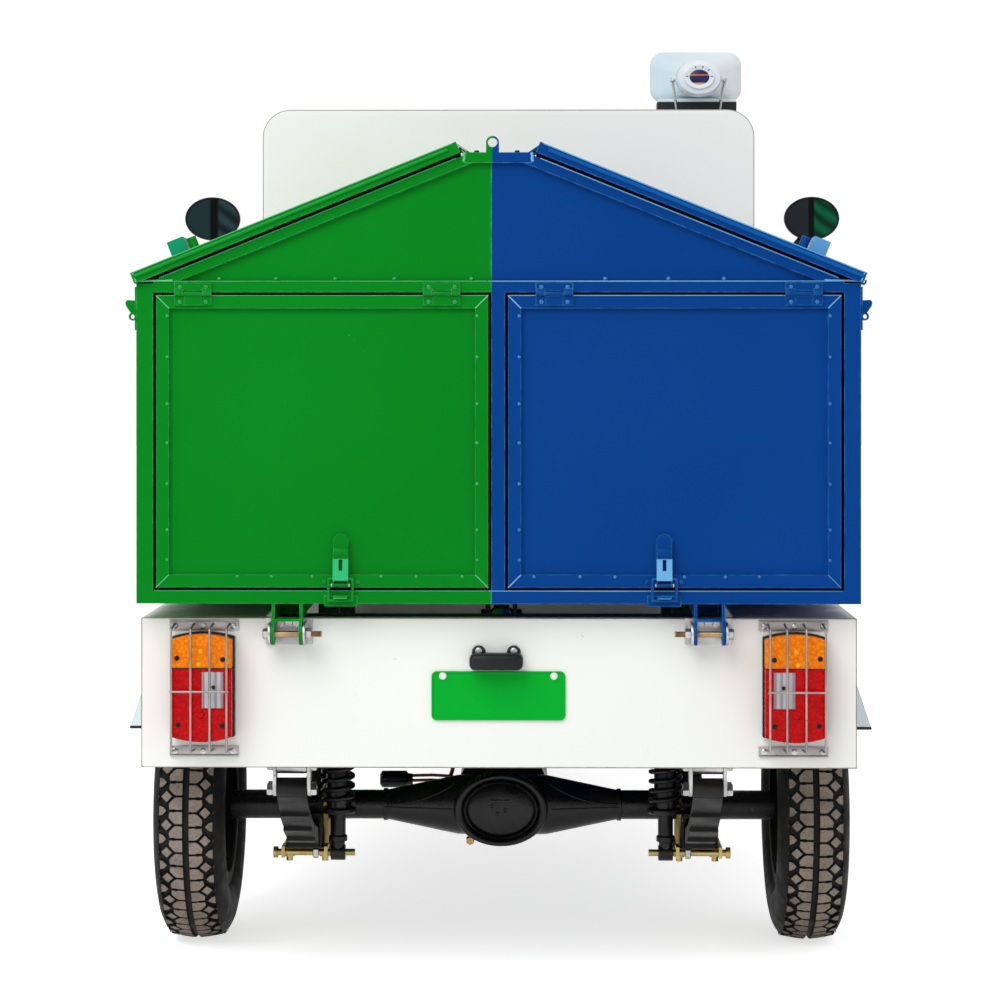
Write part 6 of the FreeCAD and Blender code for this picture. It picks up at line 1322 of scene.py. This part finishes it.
BACKREST_RIM = ((-0.262, 0.640), (0.0, 0.634), (0.262, 0.640), (0.279, 0.680), (0.281, 0.830),
                (0.279, 1.000), (0.262, 1.034), (0.0, 1.039), (-0.262, 1.034), (-0.279, 1.000),
                (-0.281, 0.830), (-0.279, 0.680))
rim = [(x, 0.226, z) for x, z in BACKREST_RIM]
piping("backrest_piping", backrest, rim)
complete(backrest, "chassis", vinyl, angle=80)


# Steering
# A telescopic fork and a welded tube handlebar in black paint, clamped to the steering stem.
# The moulded rubber grips are pushed on, and nuts hold the front wheel's axle.


dress(chassis_black, "front_fork", "handlebar")
soften(0.0010, "front_fork", "handlebar")
GRIP = [(0.016, 0.0165), (0.016, 0.0215), (0.019, 0.0225), (0.024, 0.0225), (0.027, 0.0190)]
GRIP_RIBS = 9
for rib in range(GRIP_RIBS):
    foot = 0.010 * rib
    GRIP += [(0.030 + foot, 0.0172), (0.032 + foot, 0.0186), (0.037 + foot, 0.0186), (0.039 + foot, 0.0172)]
GRIP += [(0.126, 0.0185), (0.134, 0.0190), (0.137, 0.0170), (0.138, 0.0)]
for side, word in SIDES:
    start = Vector((side * 0.220, 0.7837, 1.040))
    end = Vector((side * 0.340, 0.7237, 1.040))
    grip = turned("grip_" + word, GRIP, start, end - start, steps=24)
    complete(grip, "fork", rubber)
    nut = turned("fork_nut_" + word, [(a * 1.1, r) for a, r in NUT], (side * 0.122, FRONT_AXLE_Y, TYRE_R),
                 (side, 0, 0), steps=6)
    complete(nut, "fork", zinc)
RAKE = math.radians(25)
stem_cap = turned("stem_cap", [(-0.004, 0.0250), (0.003, 0.0250), (0.006, 0.0220), (0.007, 0.0110),
                               (0.014, 0.0105), (0.015, 0.0)], (0.0, 0.8109, 1.0060),
                  (0, -math.sin(RAKE), math.cos(RAKE)), (1, 0, 0), steps=24)
complete(stem_cap, "fork", chassis_black)


# Headlamps and mirrors
# Round headlamps with chromed rims and ribbed glass, indicators in black bezels, and oval mirrors: black
# shells round dark glass with a painted reflection.


lamp_glass, tree, shader = new_finish("lamp_glass", 0.0, 0.5)
ribs = upright_ribs(tree, 26.0)
shade = mixed(tree, ribs, (0.34, 0.36, 0.38), (0.62, 0.65, 0.67))
coloured(tree, shader, mixed(tree, cloud(tree, 30.0), shade, (0.48, 0.50, 0.52)))
gloss(tree, shader, cloud(tree, 60.0), 0.05, 0.15)
shader.inputs["Coat Weight"].default_value = 0.8
raised(tree, shader, [(ribs, 0.0012)])
dress(lamp_glass, "headlamps")
LAMP_RIM = [(-0.0300, 0.0704), (-0.0300, 0.0712), (-0.0020, 0.0716), (0.0020, 0.0735), (0.0050, 0.0725),
            (0.0070, 0.0690), (0.0070, 0.0650), (0.0040, 0.0618), (-0.0010, 0.0612)]
HEADLAMP_X = 0.300
BEZEL_STEPS = 32
LAMP_DOME = [(0.0060, 0.0626), (0.0105, 0.0560), (0.0140, 0.0440), (0.0165, 0.0260), (0.0172, 0.0)]
for side, word in SIDES:
    centre = (side * HEADLAMP_X, 1.2160, 0.780)
    ring = turned("headlamp_rim_" + word, LAMP_RIM, centre, (0, 1, 0), steps=48)
    complete(ring, "chassis", chrome, angle=60)
    dome = turned("headlamp_glass_" + word, LAMP_DOME, centre, (0, 1, 0), steps=48)
    complete(dome, "chassis", lamp_glass, angle=60)
    frame_line = []
    for step in range(BEZEL_STEPS):
        angle = 2 * math.pi * step / BEZEL_STEPS
        across, up = math.cos(angle), math.sin(angle)
        corner = 1 / max(abs(across), abs(up))
        frame_line.append((side * HEADLAMP_X + 0.057 * max(-0.98, min(0.98, across * corner)), 1.2135,
                           0.655 + 0.0215 * max(-0.95, min(0.95, up * corner))))
    complete(round_bar("indicator_bezel_" + word, frame_line, 0.0035, closed=True, smooth=True), "chassis",
             black_plastic)

dress(black_plastic, "mirrors")
soften(0.0008, "mirrors")
MIRROR_X = 0.742
MIRROR_Z = 1.395
MIRROR_OVAL = 49.5 / 64.0
MIRROR_STEPS = 48
PANE = [(0.0, 0.0), (0.0, 0.0638), (0.0012, 0.0636), (0.0022, 0.0400), (0.0026, 0.0)]


def reflection_painted_glass(name, left_edge, right_edge, left, right):
    """Dark glass with a painted reflection: one tone each side of a black band, the right one striped, with
    slow clouds.
    """
    material, tree, shader = new_finish(name, 0.0, 0.06)
    x = split_place(tree)["X"]
    into_band = band(tree, x, left_edge - 0.002, left_edge + 0.002, 0.0, 1.0)
    past_band = band(tree, x, right_edge - 0.002, right_edge + 0.002, 0.0, 1.0)
    stripes = tree.nodes.new("ShaderNodeTexWave")
    stripes.inputs["Scale"].default_value = 9.0
    stripes.inputs["Distortion"].default_value = 3.0
    lean = tree.nodes.new("ShaderNodeMapping")
    lean.inputs["Rotation"].default_value = (0.0, math.radians(58), 0.0)
    tree.links.new(on_piece(tree), lean.inputs["Vector"])
    tree.links.new(lean.outputs["Vector"], stripes.inputs["Vector"])
    right_tone = mixed(tree, stripes.outputs["Fac"], right, tuple(value * 0.25 for value in right))
    tone = mixed(tree, into_band, left, (0.002, 0.003, 0.003))
    coloured(tree, shader, mixed(tree, past_band, tone, right_tone))
    gloss(tree, shader, cloud(tree, 50.0), 0.10, 0.20)
    return material


# The tones, black band and stripes are a painted reflection.
left_glass = reflection_painted_glass("mirror_left", -0.748, -0.728, (0.012, 0.030, 0.034), (0.020, 0.052, 0.056))
right_glass = reflection_painted_glass("mirror_right", 0.734, 0.748, (0.018, 0.023, 0.028), (0.002, 0.125, 0.050))
for side, word, finish in ((-1, "left", left_glass), (1, "right", right_glass)):
    pane = turned("mirror_glass_" + word, PANE, steps=64)
    pane.scale = (1.0, 1.0, MIRROR_OVAL)
    pane.location = (side * MIRROR_X, 0.9569, MIRROR_Z)
    complete(pane, "chassis", finish, angle=60)
    edge = []
    for step in range(MIRROR_STEPS):
        angle = step * math.pi / (MIRROR_STEPS / 2)
        edge.append((side * MIRROR_X + 0.0660 * math.cos(angle), 0.9540,
                     MIRROR_Z + 0.0515 * math.sin(angle)))
    complete(round_bar("mirror_bead_" + word, edge, 0.0017, closed=True), "chassis", black_plastic,
             angle=60)


# Loudspeaker
# A moulded white horn on the roof over a black foot, held by a bent wire stirrup at two bosses. The
# driver's cap behind it is stepped, marked with short ticks and has a dark blue disc at its centre.


SPEAKER_X = 0.418
SPEAKER_Z = 1.663
horn_white, tree, shader = new_finish("horn_white", 0.0, 0.2)
place = split_place(tree)
# Painted light: the horn grows lighter from left to right across it, bluish at its left.
horn_light_tone = mixed(tree, band(tree, place["X"], 0.330, 0.500, 0.0, 1.0), (0.56, 0.70, 0.77), (0.78, 0.82, 0.83))
horn_light_tone = mixed(tree, band(tree, cloud(tree, 12.0, 3.0), 0.35, 0.7, 0.0, 0.5), horn_light_tone, (0.66, 0.73, 0.76))
below = band(tree, place["Z"], 1.6170, 1.6180, 1.0, 0.0)
coloured(tree, shader, mixed(tree, below, horn_light_tone, (0.010, 0.014, 0.015)))
gloss(tree, shader, cloud(tree, 40.0), 0.34, 0.48)
raised(tree, shader, [(cloud(tree, 500.0), 0.0001)])
dress(horn_white, "loudspeaker")
soften(0.0010, "loudspeaker")
cap_white = enamel("cap_white", (0.80, 0.83, 0.84), (0.72, 0.78, 0.80), 0.38, 0.25, 30.0, 0.0,
                   (0.4, 0.4, 0.4))
CAP_OVAL = 0.80
CAP = [(0.0, 0.0), (0.0, 0.0455), (0.0015, 0.0470), (0.0030, 0.0460), (0.0040, 0.0400), (0.0055, 0.0345),
       (0.0085, 0.0335), (0.0095, 0.0322), (0.0090, 0.0240), (0.0085, 0.0225), (0.0085, 0.0)]
cap = turned("driver_cap", CAP, steps=64)
cap.scale = (1.0, 1.0, CAP_OVAL)
cap.location = (SPEAKER_X, 0.1702, SPEAKER_Z)
complete(cap, "chassis", cap_white)
disc_blue, tree, shader = new_finish("disc_blue", 0.0, 0.3)
place = split_place(tree)
ring_share = band(tree, place["Z"], SPEAKER_Z + 0.0020, SPEAKER_Z + 0.0024, 0.0, 1.0)
ring_top = band(tree, place["Z"], SPEAKER_Z + 0.0048, SPEAKER_Z + 0.0052, 1.0, 0.0)
low_mark = band(tree, place["Z"], SPEAKER_Z - 0.0135, SPEAKER_Z - 0.0131, 1.0, 0.0)
inky = mixed(tree, cloud(tree, 90.0), (0.004, 0.006, 0.050), (0.006, 0.010, 0.120))
inky = mixed(tree, product(tree, ring_share, ring_top), inky, (0.62, 0.14, 0.012))
coloured(tree, shader, mixed(tree, low_mark, inky, (0.80, 0.42, 0.20)))
gloss(tree, shader, cloud(tree, 80.0), 0.25, 0.40)
disc = turned("driver_disc", [(0.0, 0.0212), (0.0008, 0.0214), (0.0014, 0.0200), (0.0016, 0.0)], steps=48)
disc.scale = (1.0, 1.0, CAP_OVAL * 0.95)
disc.location = (SPEAKER_X, 0.1618, SPEAKER_Z - 0.001)
complete(disc, "chassis", disc_blue)
TICK_REACH = (0.0243, 0.0300)
for number, degrees in enumerate((2, 42, 74, 108, 178)):
    angle = math.radians(degrees)
    tick = [(SPEAKER_X + reach * math.cos(angle), 0.1610, SPEAKER_Z + CAP_OVAL * reach * math.sin(angle))
            for reach in TICK_REACH]
    complete(round_bar("driver_tick_{}".format(number), tick, 0.0009), "chassis", black_plastic)
BOSS = [(0.0, 0.0), (0.0, 0.0060), (0.0035, 0.0060), (0.0050, 0.0045), (0.0052, 0.0)]
STIRRUP = ((0.0615, 0.2050, 1.6640), (0.0600, 0.2030, 1.6560), (0.0545, 0.2030, 1.6400),
           (0.0520, 0.2040, 1.6200), (0.0480, 0.2100, 1.5925))
for side, word in SIDES:
    boss = turned("stirrup_boss_" + word, BOSS,
                  (SPEAKER_X + side * 0.0560, 0.2050, 1.6585), (side, 0, 0), steps=16)
    complete(boss, "chassis", zinc)
    wire = [(SPEAKER_X + side * x, y, z) for x, y, z in STIRRUP]
    complete(round_bar("stirrup_wire_" + word, wire, 0.0021, smooth=True), "chassis", zinc,
             angle=60)


# Studio
# A plain white floor and backdrop, a large soft lamp high on the left and the photograph's camera.


bpy.ops.mesh.primitive_plane_add(size=60, location=(0, 0, 0))
floor = bpy.context.object
floor.name = "floor"


def seen_ray(tree):
    """1 for what the camera sees, straight or through metal and glass, and 0 for what lights the object."""
    path = tree.nodes.new("ShaderNodeLightPath")
    total = path.outputs["Is Camera Ray"]
    for kind in ("Is Glossy Ray", "Is Transmission Ray"):
        most = tree.nodes.new("ShaderNodeMath")
        most.operation = "MAXIMUM"
        tree.links.new(total, most.inputs[0])
        tree.links.new(path.outputs[kind], most.inputs[1])
        total = most.outputs["Value"]
    return total


paper, tree, shader = new_finish("floor_paper", 0.0, 0.0)
shader.inputs["Base Color"].default_value = (0.9, 0.9, 0.9, 1.0)
shader.inputs["Roughness"].default_value = 1.0
shader.inputs["Emission Color"].default_value = (1.0, 1.0, 1.0, 1.0)
tree.links.new(band(tree, seen_ray(tree), 0.0, 1.0, 0.0, 0.66), shader.inputs["Emission Strength"])
floor.data.materials.append(paper)

camera_data = bpy.data.cameras.new("camera")
camera = bpy.data.objects.new("camera", camera_data)
bpy.context.scene.collection.objects.link(camera)
camera_data.lens = 99.5
camera_data.sensor_width = 36
camera_data.shift_y = -0.134
camera.location = (0.063, -5.890, 1.030)
camera.rotation_euler = (math.radians(90), 0, math.radians(0.77))
bpy.context.scene.camera = camera

world = bpy.data.worlds.new("world")
bpy.context.scene.world = world
world.use_nodes = True
backdrop = world.node_tree.nodes["Background"]
light_and_view = band(world.node_tree, seen_ray(world.node_tree), 0.0, 1.0, 0.68, 1.0)
world.node_tree.links.new(light_and_view, backdrop.inputs["Strength"])
backdrop.inputs["Color"].default_value = (1.0, 1.0, 1.0, 1.0)

lamp_data = bpy.data.lights.new("key", "AREA")
lamp_data.energy = 225
lamp_data.size = 4
lamp = bpy.data.objects.new("key", lamp_data)
bpy.context.scene.collection.objects.link(lamp)
lamp.location = (-2, -5, 5)
lamp.rotation_euler = Vector((2, 5, -4)).to_track_quat("-Z", "Y").to_euler()
bpy.context.scene.view_settings.view_transform = "Standard"
